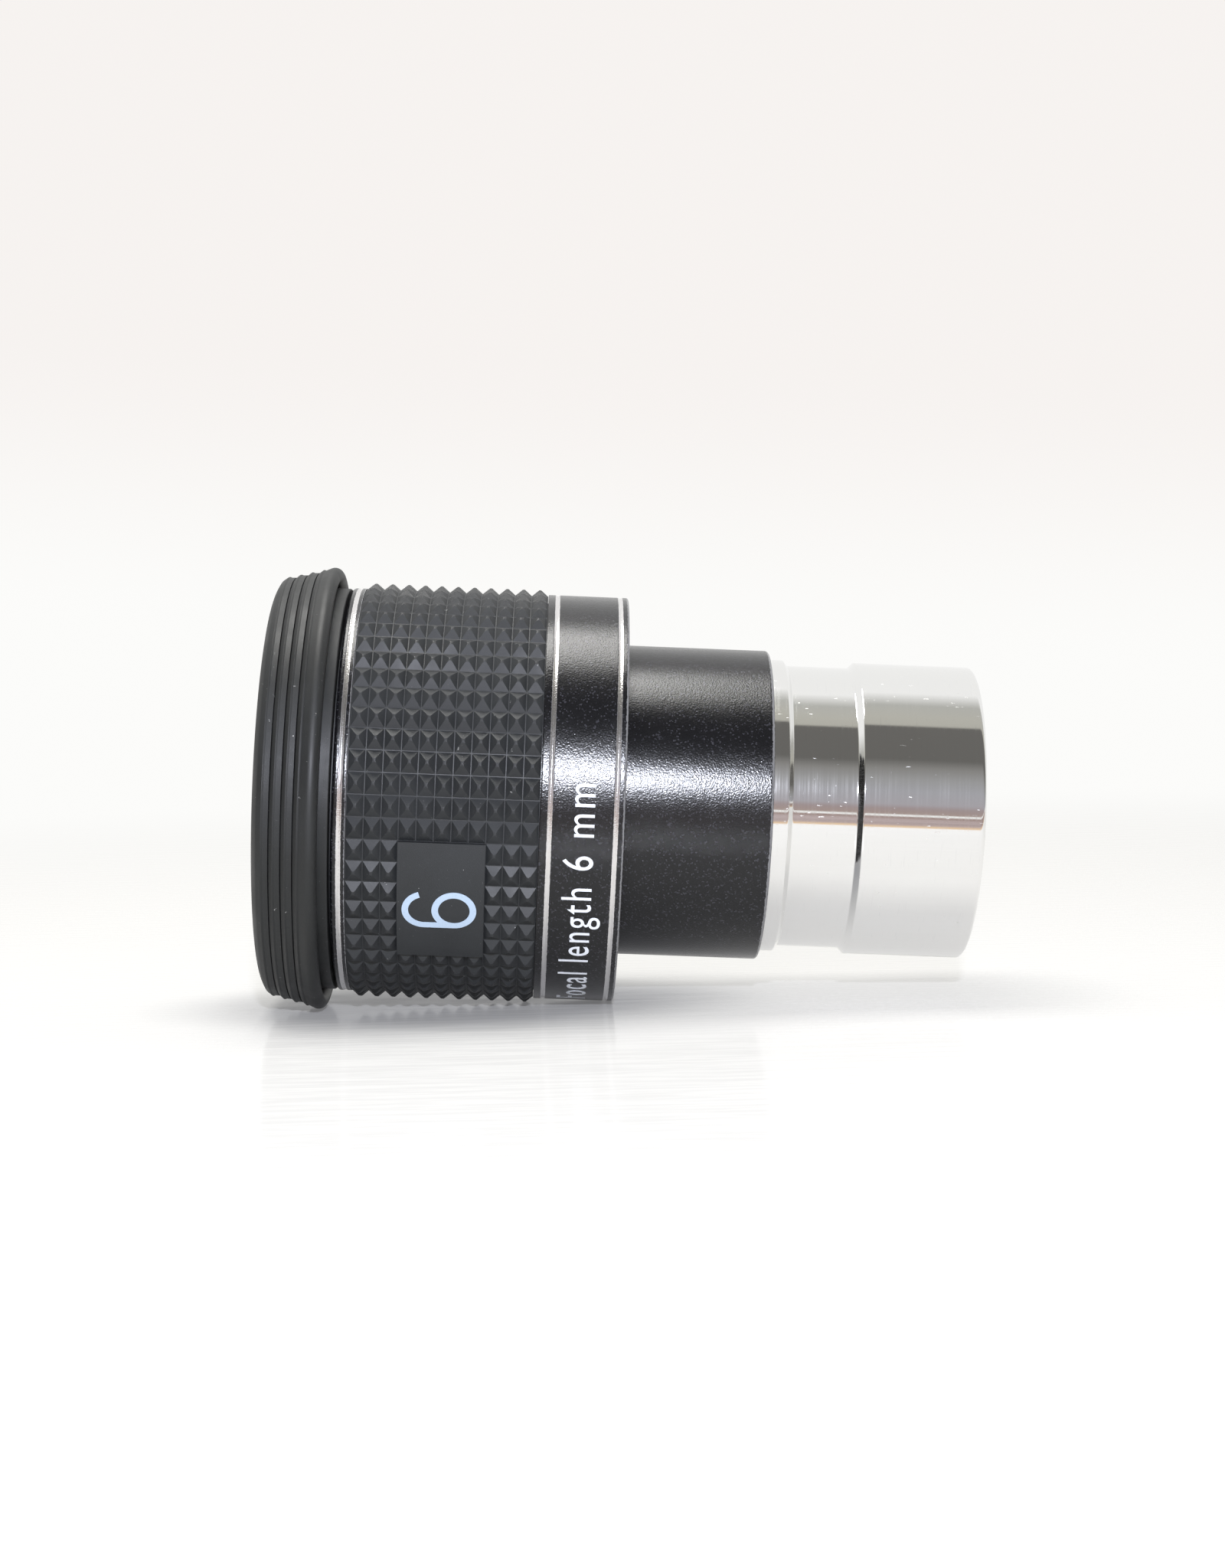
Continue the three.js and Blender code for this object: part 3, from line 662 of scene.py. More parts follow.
def chrome_plate(name):
    material, tree, shader, place = new_material(name, Metallic=1.0)
    marks = effect(tree, "turning", place, Lines_Per_Mm=5.0, Drift=0.05)
    patches = effect(tree, "handling", place, Patch_Size=4.0)
    scratches = noise(tree, stretched(tree, place, (900.0, 5200.0, 5200.0)), 1.0, 1.0)
    scratch = between(tree, scratches, 0.74, 0.78)
    rough = between(tree, marks["Height"], 0.35, 0.75, 0.03, 0.085)
    for mark, share in ((marks["Hairline"], 0.05), (patches["Value"], 0.015), (scratch, 0.22)):
        rough = maths(tree, "ADD", rough, times(tree, mark, share))
    chrome = settings("barrel").chrome
    look = tinted(tree, chrome, marks["Hairline"], share=0.25, tone=(0.6, 0.6, 0.62))
    feed(shader, Base_Color=look, Roughness=rough)
    height = maths(tree, "ADD", marks["Height"], times(tree, scratch, 1.5))
    bump(tree, shader, height, 0.0015 * MM)
    return material


def satin_black(name, lines, worn):
    """Bead-blasted black anodise. Bright-cut lines and pale edge rings, partly edge wear and partly painted
    highlight, are (station, half width).
    """
    material, tree, shader, place = new_material(name, IOR=1.47)
    grain = effect(tree, "grain", place, Size=0.16)
    sparkle = effect(tree, "grain", place, Size=0.15)["Fleck"]
    patches = effect(tree, "handling", place, Patch_Size=5.0)
    dust = effect(tree, "dust", place, Spacing=1.6, Speck_Size=0.10, Share=0.06)
    look = tinted(tree, settings("body").anodise, sparkle, share=0.3, tone=(0.10, 0.10, 0.12))
    look = tinted(tree, look, dust["Mask"], share=0.7, tone=(0.4, 0.4, 0.38))
    rough = between(tree, patches["Value"], 0.0, 1.0, 0.215, 0.235)
    metal = times(tree, sparkle, 0.09)

    def ring(station, half, ragged):
        sizes = {"Station": station / MM, "Half_Width": half / MM, "Ragged": ragged}
        return effect(tree, "ring", place, **sizes)["Mask"]

    # Pale rings on the bevelled edges: partly edge wear, partly a painted highlight where the bevels catch the
    # light.
    for station, half in worn:
        look = tinted(tree, look, ring(station, half, 0.35), share=0.35, tone=(0.45, 0.45, 0.46))
    if lines:
        masks = [ring(station, half, 0.16) for station, half in lines]
        bright = masks[0]
        for mask in masks[1:]:
            bright = maths(tree, "MAXIMUM", bright, mask)
        marks = effect(tree, "turning", place, Lines_Per_Mm=16.0, Drift=0.5)
        shine = blend_colour(tree, marks["Height"], settings("sleeve").bright, (0.62, 0.60, 0.60))
        look = blend_colour(tree, bright, look, shine)
        rough = blend_value(tree, bright, rough, 0.22)
        metal = maths(tree, "MAXIMUM", metal, bright)
    feed(shader, Metallic=metal, Base_Color=look, Roughness=rough)
    bump(tree, shader, grain["Height"], 0.022 * MM)
    return material


def rubber(name, tone, speck_share, grain_size):
    """Moulded rubber with grain, wiped patches and dust."""
    material, tree, shader, place = new_material(name, IOR=1.5)
    grain = effect(tree, "grain", place, Size=grain_size)
    patches = effect(tree, "handling", place, Patch_Size=7.0)
    dust = effect(tree, "dust", place, Spacing=1.1, Speck_Size=0.12, Share=speck_share)
    fine = effect(tree, "dust", place, Spacing=0.5, Speck_Size=0.05, Share=speck_share * 1.4)
    pale = [c * 1.6 + 0.004 for c in tone]
    light = [c * 2.2 for c in tone]
    specks = maths(tree, "MAXIMUM", dust["Mask"], times(tree, fine["Mask"], 0.5))
    look = tinted(tree, tone, patches["Value"], share=0.5, tone=pale)
    look = tinted(tree, look, grain["Fleck"], share=0.25, tone=light)
    look = tinted(tree, look, specks, share=0.6, tone=(0.42, 0.42, 0.41))
    feed(shader, Base_Color=look, Roughness=between(tree, patches["Value"], 0.0, 1.0, 0.50, 0.62))
    bump(tree, shader, grain["Height"], 0.012 * MM)
    return material


def matt_metal(name):
    material, tree, shader, place = new_material(name, IOR=1.5)
    marks = effect(tree, "turning", place, Lines_Per_Mm=6.0, Drift=0.1)
    grain = effect(tree, "grain", place, Size=0.09)
    dust = effect(tree, "dust", place, Spacing=1.4, Speck_Size=0.08, Share=0.12)
    tone = settings("optics").matt_black
    look = blend_colour(tree, marks["Height"], tone, [c * 2.2 for c in tone])
    look = tinted(tree, look, dust["Mask"], share=0.6, tone=(0.35, 0.35, 0.34))
    feed(shader, Base_Color=look, Roughness=between(tree, marks["Height"], 0.3, 0.7, 0.42, 0.62))
    height = maths(tree, "ADD", marks["Height"], times(tree, grain["Height"], 0.5))
    bump(tree, shader, height, 0.012 * MM)
    return material


def coated_glass(name):
    tint = settings("optics").tint
    material, tree, shader, place = new_material(
        name, IOR=1.62, Transmission_Weight=1.0, Roughness=0.0, Specular_Tint=tint
    )
    dust = effect(tree, "dust", place, Spacing=2.0, Speck_Size=0.07, Share=0.12)
    wiped = effect(tree, "handling", place, Patch_Size=3.0)
    look = blend_colour(tree, wiped["Value"], (0.97, 0.99, 0.97), (0.93, 0.97, 0.94))
    feed(shader, Base_Color=look, Roughness=times(tree, dust["Mask"], 0.5))
    return material


def dark_steel(name):
    material, tree, shader, place = new_material(name, Metallic=1.0)
    grain = effect(tree, "grain", place, Size=0.08)
    patches = effect(tree, "handling", place, Patch_Size=1.0)
    look = blend_colour(tree, grain["Fleck"], (0.05, 0.05, 0.055), (0.16, 0.16, 0.17))
    feed(shader, Base_Color=look, Roughness=between(tree, patches["Value"], 0.0, 1.0, 0.3, 0.5))
    bump(tree, shader, grain["Height"], 0.01 * MM)
    return material


def printed_ink(name, ink):
    material, tree, shader, place = new_material(name, IOR=1.45)
    grain = effect(tree, "grain", place, Size=0.10)
    look = tinted(tree, ink, grain["Fleck"], share=0.4, tone=[c * 0.75 for c in ink])
    feed(shader, Base_Color=look, Roughness=between(tree, grain["Height"], 0.3, 0.7, 0.4, 0.55))
    bump(tree, shader, grain["Height"], 0.006 * MM)
    return material


MADE = {}


def material_of(name, maker, *values):
    """The material of that name, made the first time that it is asked for."""
    if name not in MADE:
        MADE[name] = maker(name, *values)
    return MADE[name]


# ---------------------------------------------------------------- pieces


class EYEPIECE_OT_barrel(bpy.types.Operator):
    """Turn the chromed barrel with its undercut, filter thread and blackened bore"""

    bl_idname = "eyepiece.barrel"
    bl_label = "Barrel"

    def execute(self, context):
        b = settings("barrel")
        baffle = settings("optics").baffle_depth
        spigot = BARREL_RADIUS - b.spigot_step
        floor = BARREL_RADIUS - b.undercut_depth
        bore = BARREL_RADIUS - b.wall
        thread = BARREL_END - b.thread_length
        pitch = b.thread_pitch
        outline = [
            (BARREL_START, spigot, SOFT_EDGE),
            (b.flange_back, spigot),
            (b.flange_back, BARREL_RADIUS),
            (b.flange_end, BARREL_RADIUS, FINE_EDGE),
            (b.undercut_start, floor, FINE_EDGE),
            (b.undercut_end, floor, FINE_EDGE),
            (b.undercut_end + b.undercut_ramp, BARREL_RADIUS, FINE_EDGE),
            (BARREL_END, BARREL_RADIUS, b.end_round),
            (BARREL_END, spigot, FINE_EDGE),
            *ridges(BARREL_END - b.lead_in, thread + b.lead_in, spigot, -b.thread_depth, pitch),
            (thread, spigot),
            (thread, bore, FINE_EDGE),
            *ridges(thread - b.lead_in, BARREL_START + b.lead_in, bore, baffle, pitch),
            (BARREL_START, bore, FINE_EDGE),
        ]
        piece = turned("chromed_barrel", outline)
        chrome = material_of("chrome_plate", chrome_plate)
        matt = material_of("matt_black_metal", matt_metal)
        dark = bore + 1.2 * baffle
        end = thread + FINE_EDGE
        paint(piece, chrome, matt, lambda place: off_axis(place) < dark and place.x < end)
        finished(piece, "body", None, 30.0, "barrel")
        return {"FINISHED"}


def helical_cutter(index):
    """A bar bent along the path of a guide screw, for its groove."""
    b = settings("body")
    steps = 20
    sweep = math.pi + 2 * b.run_out
    rise = sweep / math.pi * b.lift / steps
    start = b.screw_station + b.run_out / math.pi * b.lift
    deselect()
    bpy.ops.mesh.primitive_circle_add(
        vertices=14, radius=b.groove_radius, fill_type="NGON", location=(start, -BODY_RADIUS, 0.0)
    )
    cutter = applied()
    edit(cutter)
    turn(index * 2 * math.pi / GUIDES - b.run_out)
    for _ in range(steps):
        extrude(-rise, 0.0, 0.0)
        turn(sweep / steps)
    weld()
    return cutter


class EYEPIECE_OT_lower_body(bpy.types.Operator):
    """Turn the lower body and cut its three helical guide grooves"""

    bl_idname = "eyepiece.lower_body"
    bl_label = "Lower body"

    def execute(self, context):
        b = settings("body")
        past_grooves = b.screw_station + b.groove_radius + 1.2 * MM
        outline = [
            (BODY_START, BODY_RADIUS, b.edge),
            (past_grooves, BODY_RADIUS),
            (BODY_END, BODY_RADIUS, b.edge),
            (BODY_END, b.flange_bore),
            (BODY_END - b.flange_sunk, b.flange_bore),
            (BODY_END - b.flange_sunk, b.spigot_bore),
            (BODY_END - b.spigot_depth, b.spigot_bore),
            (BODY_END - b.spigot_depth, b.throat, SOFT_EDGE),
            (b.cell_seat, b.throat, SOFT_EDGE),
            (b.cell_seat, b.cell_bore),
            (BODY_START, b.cell_bore, SOFT_EDGE),
        ]
        piece = turned("satin_lower_body", outline)
        combine(piece, [helical_cutter(i) for i in range(GUIDES)], "DIFFERENCE")
        # Pale ring on the shoulder's bevel: edge wear and a painted highlight.
        worn = [(BODY_END - 0.5 * b.edge, 0.12 * MM)]
        look = material_of("satin_black_body", satin_black, (), worn)
        finished(piece, "body", look, 32.0, "lower_body")
        return {"FINISHED"}


class EYEPIECE_OT_sleeve(bpy.types.Operator):
    """Turn the twist sleeve with its bright-cut lines, and drill its screw holes"""

    bl_idname = "eyepiece.sleeve"
    bl_label = "Twist sleeve"

    def bright_line(self, station, radius):
        s = settings("sleeve")
        return [
            (station, radius),
            (station + s.line_width / 2, radius - s.line_depth, FINE_EDGE),
            (station + s.line_width, radius),
        ]

    def drill(self, index):
        s = settings("sleeve")
        deselect()
        bpy.ops.mesh.primitive_cylinder_add(
            vertices=28,
            radius=s.screw_hole,
            depth=8.0 * MM,
            location=(settings("body").screw_station, -(s.bore + s.channel_radius) / 2, 0.0),
            rotation=(math.pi / 2, 0.0, 0.0),
        )
        piece = applied()
        edit(piece)
        turn(index * 2 * math.pi / GUIDES)
        stop_editing()
        return piece

    def execute(self, context):
        s = settings("sleeve")
        ring_middle = (DAMPER_START + DAMPER_END) / 2
        ring_start = ring_middle - s.ring_half
        ring_end = ring_middle + s.ring_half
        guide_end = settings("body").screw_station + 2.5 * MM
        seat = SLEEVE_START + s.counterbore_depth
        outline = [
            (SLEEVE_START, s.collar_radius, s.collar_round),
            *self.bright_line(s.collar_line, s.collar_radius),
            (s.collar_end, s.collar_radius, FINE_EDGE),
            (s.collar_end, s.channel_radius),
            (s.channel_end, s.channel_radius),
            (s.channel_end, SLEEVE_RADIUS, FINE_EDGE),
            *self.bright_line(s.band_line, SLEEVE_RADIUS),
            *self.bright_line(s.end_line, SLEEVE_RADIUS),
            (SLEEVE_END, SLEEVE_RADIUS, s.edge),
            (SLEEVE_END, s.bore, SOFT_EDGE),
            (ring_end, s.bore),
            (ring_end, s.ring_groove),
            (ring_start, s.ring_groove),
            (ring_start, s.bore),
            (ring_start - s.land, s.bore),
            (ring_start - s.land, s.relief),
            (guide_end, s.relief),
            (guide_end, s.bore),
            (seat, s.bore),
            (seat, s.counterbore),
            (SLEEVE_START, s.counterbore, SOFT_EDGE),
        ]
        piece = turned("twist_sleeve_shell", outline)
        combine(piece, [self.drill(i) for i in range(GUIDES)], "DIFFERENCE")
        half = s.line_width / 2
        lines = [(start + half, half) for start in (s.collar_line, s.band_line, s.end_line)]
        # Pale rings on the sleeve's end bevel and collar edge: edge wear and a painted highlight.
        worn = [(SLEEVE_END - 0.5 * s.edge, 0.09 * MM), (s.collar_end - 0.03 * MM, 0.05 * MM)]
        look = material_of("satin_black_with_lines", satin_black, lines, worn)
        finished(piece, "sleeve", look, 32.0, "twist_sleeve")
        return {"FINISHED"}


class EYEPIECE_OT_grip(bpy.types.Operator):
    """Mould the rubber grip with its pyramids and smooth label panel"""

    bl_idname = "eyepiece.grip"
    bl_label = "Rubber grip"

    def execute(self, context):
        g = settings("grip")
        pitch = (GRIP_END - GRIP_START) / g.columns
        row = 2 * math.pi / g.rows
        panel_low = g.panel_top - g.panel_rows * row
        panel_start = GRIP_START + g.panel_first * pitch
        panel_end = panel_start + g.panel_columns * pitch
        skin = 0.5 * (g.bore + g.valley)
        tip = 0.5 * (g.valley + GRIP_PEAK)
        whole_face = 0.8 * pitch * row * g.valley

        def in_panel(face):
            place = face.center
            inside = panel_start < place.x < panel_end and panel_low < angle_of(place) < g.panel_top
            return inside and off_axis(place) > skin

        def in_field(face):
            return off_axis(face.center) > skin and face.normal.x**2 < 0.5 and not in_panel(face)

        def at(station):
            return lambda vertex: abs(vertex.co.x - station) < FINE_EDGE

        deselect()
        bpy.ops.mesh.primitive_circle_add(
            vertices=g.rows, radius=g.valley, location=(GRIP_START, 0.0, 0.0), rotation=(0.0, math.pi / 2, 0.0)
        )
        piece = applied("pyramid_grip")
        edit(piece)
        turn(math.fmod(g.panel_top, row))
        for _ in range(g.columns):
            extrude(pitch, 0.0, 0.0)
        bpy.ops.mesh.select_all(action="SELECT")
        bpy.ops.mesh.normals_make_consistent(inside=False)
        pick(piece, "vertices", at(GRIP_START))
        bpy.ops.mesh.extrude_region_move()
        shrink = g.bore / g.valley
        bpy.ops.transform.resize(value=(1.0, shrink, shrink), center_override=ORIGIN)
        extrude(GRIP_END - GRIP_START, 0.0, 0.0)
        pick(piece, "vertices", at(GRIP_END))
        bpy.ops.mesh.select_mode(type="EDGE")
        bpy.ops.mesh.bridge_edge_loops()

        pick(piece, "polygons", in_field)
        bpy.ops.mesh.inset(thickness=g.valley_width, use_individual=True, use_even_offset=True)
        height = GRIP_PEAK + g.tip_rise - g.valley * math.cos(row / 2)
        bpy.ops.mesh.poke(offset=height, center_mode="MEDIAN")
        pick(piece, "vertices", lambda vertex: off_axis(vertex.co) > tip)
        bpy.ops.mesh.bevel(affect="VERTICES", offset=g.tip_round, segments=2, profile=0.5)
        pick(piece, "polygons", lambda f: in_panel(f) and len(f.vertices) == 4 and f.area > whole_face)
        rise = {"value": g.panel_radius - g.valley}
        bpy.ops.mesh.extrude_region_shrink_fatten(TRANSFORM_OT_shrink_fatten=rise)
        bpy.ops.mesh.inset(thickness=g.panel_edge, use_boundary=True)
        weld()
        look = material_of("grip_rubber", rubber, g.rubber, 0.22, 0.10)
        finished(piece, "sleeve", look, 20.0, "rubber_grip")
        return {"FINISHED"}


def matt_part(name, node, outline, slots=None, body="body"):
    """A part turned from matt black metal. Slots are the station and reach of its spanner slots."""
    piece = turned(name, outline)
    if slots:
        o = settings("optics")
        station, reach = slots
        deselect()
        bpy.ops.mesh.primitive_cube_add(size=1.0, location=(station, 0.0, 0.0))
        bar = applied(scale=(2 * o.slot_depth, 4 * reach, o.slot_width))
        combine(piece, [bar], "DIFFERENCE")
    look = material_of("matt_black_metal", matt_metal)
    finished(piece, body, look, 25.0, node)


class EYEPIECE_OT_eyecup(bpy.types.Operator):
    """Mould the folded rubber eyecup with its ribs and bead, and turn the ring that it hooks over"""

    bl_idname = "eyepiece.eyecup"
    bl_label = "Eyecup"

    def ribs(self):
        """The nose that runs back from the crest, and the ribs after it."""
        e = settings("eyecup")
        steps = 10
        outline = []
        for i in range(steps + 1):
            share = i / steps
            outline.append((CUP_START + e.nose * share**2, e.crest_radius + e.nose_rise * share))
        for i in range(e.ribs):
            tip = CUP_START + e.first_rib + i * e.rib_run
            radius = e.first_radius + i * e.rib_step
            foot = tip - e.rib_foot
            floor = radius - e.rib_height
            if i > 0:
                outline.append((foot - 0.4 * e.notch, floor))
                outline.append((foot, floor - e.notch))
                outline.append((foot + 0.3 * e.notch, floor + 0.2 * e.notch))
            outline.append((tip, radius, e.rib_round))
            outline.append((tip + 0.45 * e.rib_foot, radius - 0.22 * e.rib_height))
        return outline

    def mouth(self):
        """The curve from the lip back to the crest."""
        e = settings("eyecup")
        steps = 10
        outline = []
        for i in range(steps):
            t = math.pi / 2 * (1 - i / steps)
            x = CUP_START + e.throat * (1 - math.cos(t))
            outline.append((x, e.crest_radius - (e.crest_radius - e.lip) * math.sin(t)))
        return outline

    def cup(self):
        e = settings("eyecup")
        bead_middle = CUP_RADIUS - e.bead_radius
        crease_middle = e.neck - 0.08 * MM
        hook_half = 0.52 * MM
        lip_face = RING_START - 0.12 * MM
        return [
            *self.ribs(),
            *arc(e.bead_station, bead_middle, e.bead_radius, 112.0, -90.0, 20),
            *arc(CUP_START + e.crease, crease_middle, e.crease_radius, 90.0, 270.0, 6),
            (CUP_END - e.neck_length, e.neck),
            (CUP_END, e.neck, SOFT_EDGE),
            (CUP_END, e.bore),
            (HOOK_STATION + hook_half, e.bore),
            (HOOK_STATION + hook_half, e.bore - e.hook),
            (HOOK_STATION - hook_half, e.bore - e.hook),
            (HOOK_STATION - hook_half, e.bore),
            (lip_face, e.bore),
            (lip_face, e.lip, SOFT_EDGE),
            *self.mouth(),
        ]

    def ring(self):
        e = settings("eyecup")
        depth = settings("optics").thread_depth
        thread_pitch = settings("optics").thread_pitch
        baffle_pitch = 0.6 * MM
        shoulder = SLEEVE_START - 0.12 * MM
        groove = RING_RADIUS - e.hook
        groove_half = 0.6 * MM
        baffle_end = RING_END - 0.4 * MM
        return [
            (RING_START, RING_RADIUS, SOFT_EDGE),
            (HOOK_STATION - groove_half, RING_RADIUS),
            (HOOK_STATION - groove_half, groove),
            (HOOK_STATION + groove_half, groove),
            (HOOK_STATION + groove_half, RING_RADIUS),
            (shoulder, RING_RADIUS),
            (shoulder, e.ring_thread),
            *ridges(shoulder + 0.4 * MM, RING_END - 0.3 * MM, e.ring_thread, -depth, thread_pitch),
            (RING_END, e.ring_thread - SOFT_EDGE),
            (RING_END, e.ring_bore),
            *ridges(baffle_end, RING_START + 0.8 * MM, e.ring_bore, depth, baffle_pitch),
            (RING_START, e.ring_bore + 0.5 * MM),
        ]

    def execute(self, context):
        cup = turned("folded_eyecup", self.cup())
        look = material_of("eyecup_rubber", rubber, settings("eyecup").rubber, 0.30, 0.13)
        finished(cup, "sleeve", look, 24.0, "eyecup")
        matt_part("threaded_eyecup_ring", "eyecup_ring", self.ring(), body="sleeve")
        return {"FINISHED"}


def lens(name, node, eye_edge, eye_bulge, field_edge, field_bulge):
    """A lens with two spherical surfaces, its stations and bulges given in millimetres."""
    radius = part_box(node)[1].z
    steps = 18
    outline = []
    for i in range(steps + 1):
        r = radius * i / steps
        outline.append((eye_edge * MM - surface_rise(r, radius, eye_bulge * MM), r))
    for i in range(steps, -1, -1):
        r = radius * i / steps
        outline.append((field_edge * MM + surface_rise(r, radius, field_bulge * MM), r))
    piece = turned(name, outline, GLASS_STEPS, closed=False)
    finished(piece, "body", material_of("coated_glass", coated_glass), 20.0, node)


class EYEPIECE_OT_eye_lens_group(bpy.types.Operator):
    """Turn the lens cell, its retaining ring and spacer, and grind the eye lenses"""

    bl_idname = "eyepiece.eye_lens_group"
    bl_label = "Eye lens group"

    def mouth(self):
        """The bevelled mouth of the lens cell, with its fine steps."""
        o = settings("optics")
        steps = 5
        outline = []
        for i in range(steps):
            bevel = i / steps * o.mouth_bevel
            x = CELL_START + o.mouth_bevel - bevel
            r = o.lens_seat + bevel
            outline += [(x, r), (x - 0.03 * MM, r + 0.16 * MM)]
        return outline

    def execute(self, context):
        o = settings("optics")
        flange_end = CELL_START + o.flange
        seat = CELL_END - o.seat_depth
        matt_part("eye_lens_cell", "lens_cell", [
            (CELL_START, CELL_RADIUS, SOFT_EDGE),
            (flange_end, CELL_RADIUS, FINE_EDGE),
            (flange_end, o.cell_body),
            (CELL_END, o.cell_body, SOFT_EDGE),
            (CELL_END, o.lip, SOFT_EDGE),
            (seat, o.lip),
            (seat, o.lens_seat),
            *self.mouth(),
            (CELL_START, o.lens_seat + o.mouth_bevel + 0.1 * MM),
        ])
        front = EYE_RING_START
        thread = (front + 0.3 * MM, EYE_RING_END - 0.2 * MM)
        matt_part("eye_lens_retainer", "eye_lens_ring", [
            (front, o.lip + 1.14 * MM, FINE_EDGE),
            (front, LENS_RADIUS, FINE_EDGE),
            *ridges(*thread, LENS_RADIUS, -0.1 * MM, 0.5 * MM),
            (EYE_RING_END, LENS_RADIUS, FINE_EDGE),
            (EYE_RING_END, o.lip),
        ], slots=(front, LENS_RADIUS))
        baffles = (SPACER_END - 0.3 * MM, SPACER_START + 0.3 * MM)
        matt_part("lens_spacer_tube", "lens_spacer", [
            (SPACER_START, SPACER_RADIUS, SOFT_EDGE),
            (SPACER_END, SPACER_RADIUS, SOFT_EDGE),
            (SPACER_END, o.lip),
            *ridges(*baffles, o.lip, o.baffle_depth, o.baffle_pitch),
            (SPACER_START, o.lip),
        ])
        lens("eye_lens_front", "eye_lens_crown", -42.54, 0.6, -40.94, 2.6)
        lens("eye_lens_back", "eye_lens_flint", -40.88, -2.6, -37.58, 0.7)
        lens("middle_lens_glass", "middle_lens", -28.23, 1.9, -26.03, 1.5)
        return {"FINISHED"}


class EYEPIECE_OT_field_lens_group(bpy.types.Operator):
    """Turn the field stop and the field lens tube, and grind the field lenses"""

    bl_idname = "eyepiece.field_lens_group"
    bl_label = "Field lens group"

    def execute(self, context):
        o = settings("optics")
        matt_part("field_stop_ring", "field_stop", [
            (STOP_START, STOP_OUTER, FINE_EDGE),
            (STOP_END, STOP_OUTER, FINE_EDGE),
            (STOP_END, o.stop_opening + o.stop_bevel, FINE_EDGE),
            (STOP_START + 0.04 * MM, o.stop_opening),
            (STOP_START, o.stop_opening + 0.02 * MM),
        ])
        thread_end = TUBE_START + o.tube_thread
        thread = (TUBE_START + 0.2 * MM, thread_end - 0.2 * MM)
        baffles = (o.tube_seat_start - 0.4 * MM, TUBE_START + 0.4 * MM)
        matt_part("field_lens_barrel", "field_lens_tube", [
            (TUBE_START, TUBE_THREAD - SOFT_EDGE),
            *ridges(*thread, TUBE_THREAD, -o.thread_depth, o.thread_pitch),
            (thread_end, TUBE_THREAD - SOFT_EDGE),
            (thread_end, o.tube_outer),
            (TUBE_END, o.tube_outer, SOFT_EDGE),
            (TUBE_END, o.tube_seat + SOFT_EDGE),
            (TUBE_END - SOFT_EDGE, o.tube_seat),
            (o.tube_seat_start, o.tube_seat),
            (o.tube_seat_start, o.tube_bore, FINE_EDGE),
            *ridges(*baffles, o.tube_bore, o.baffle_depth, o.baffle_pitch),
            (TUBE_START, o.tube_bore),
        ])
        inner = FIELD_LENS_RADIUS - 1.5 * MM
        matt_part("field_lens_retainer", "field_lens_ring", [
            (FIELD_RING_START, inner),
            (FIELD_RING_START, FIELD_LENS_RADIUS, FINE_EDGE),
            (FIELD_RING_END, FIELD_LENS_RADIUS, FINE_EDGE),
            (FIELD_RING_END, inner + 0.75 * MM, FINE_EDGE),
        ], slots=(FIELD_RING_END, FIELD_LENS_RADIUS))
        lens("field_lens_front", "field_lens_concave", 6.66, -1.2, 10.86, -1.4)
        lens("field_lens_back", "field_lens_meniscus", 10.92, 1.4, 12.62, -0.5)
        return {"FINISHED"}


class EYEPIECE_OT_twist_parts(bpy.types.Operator):
    """Mould the damping ring and finish the guide screws"""

    bl_idname = "eyepiece.twist_parts"
    bl_label = "Damping ring and guide screws"

    def execute(self, context):
        section = (DAMPER_END - DAMPER_START) / 2
        middle = (DAMPER_START + DAMPER_END) / 2
        outline = arc(middle, DAMPER_RADIUS - section, section, 0.0, 345.0, 23)
        ring = turned("damping_o_ring", outline, GLASS_STEPS)
        look = material_of("greased_rubber", rubber, (0.02, 0.02, 0.02), 0.02, 0.2)
        finished(ring, "lift_ring", look, 60.0, "damping_ring")
        for index in range(GUIDES):
            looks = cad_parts[f"guide_screw_{index + 1}"].data.materials
            looks.clear()
            looks.append(material_of("black_oxide_steel", dark_steel))
        return {"FINISHED"}


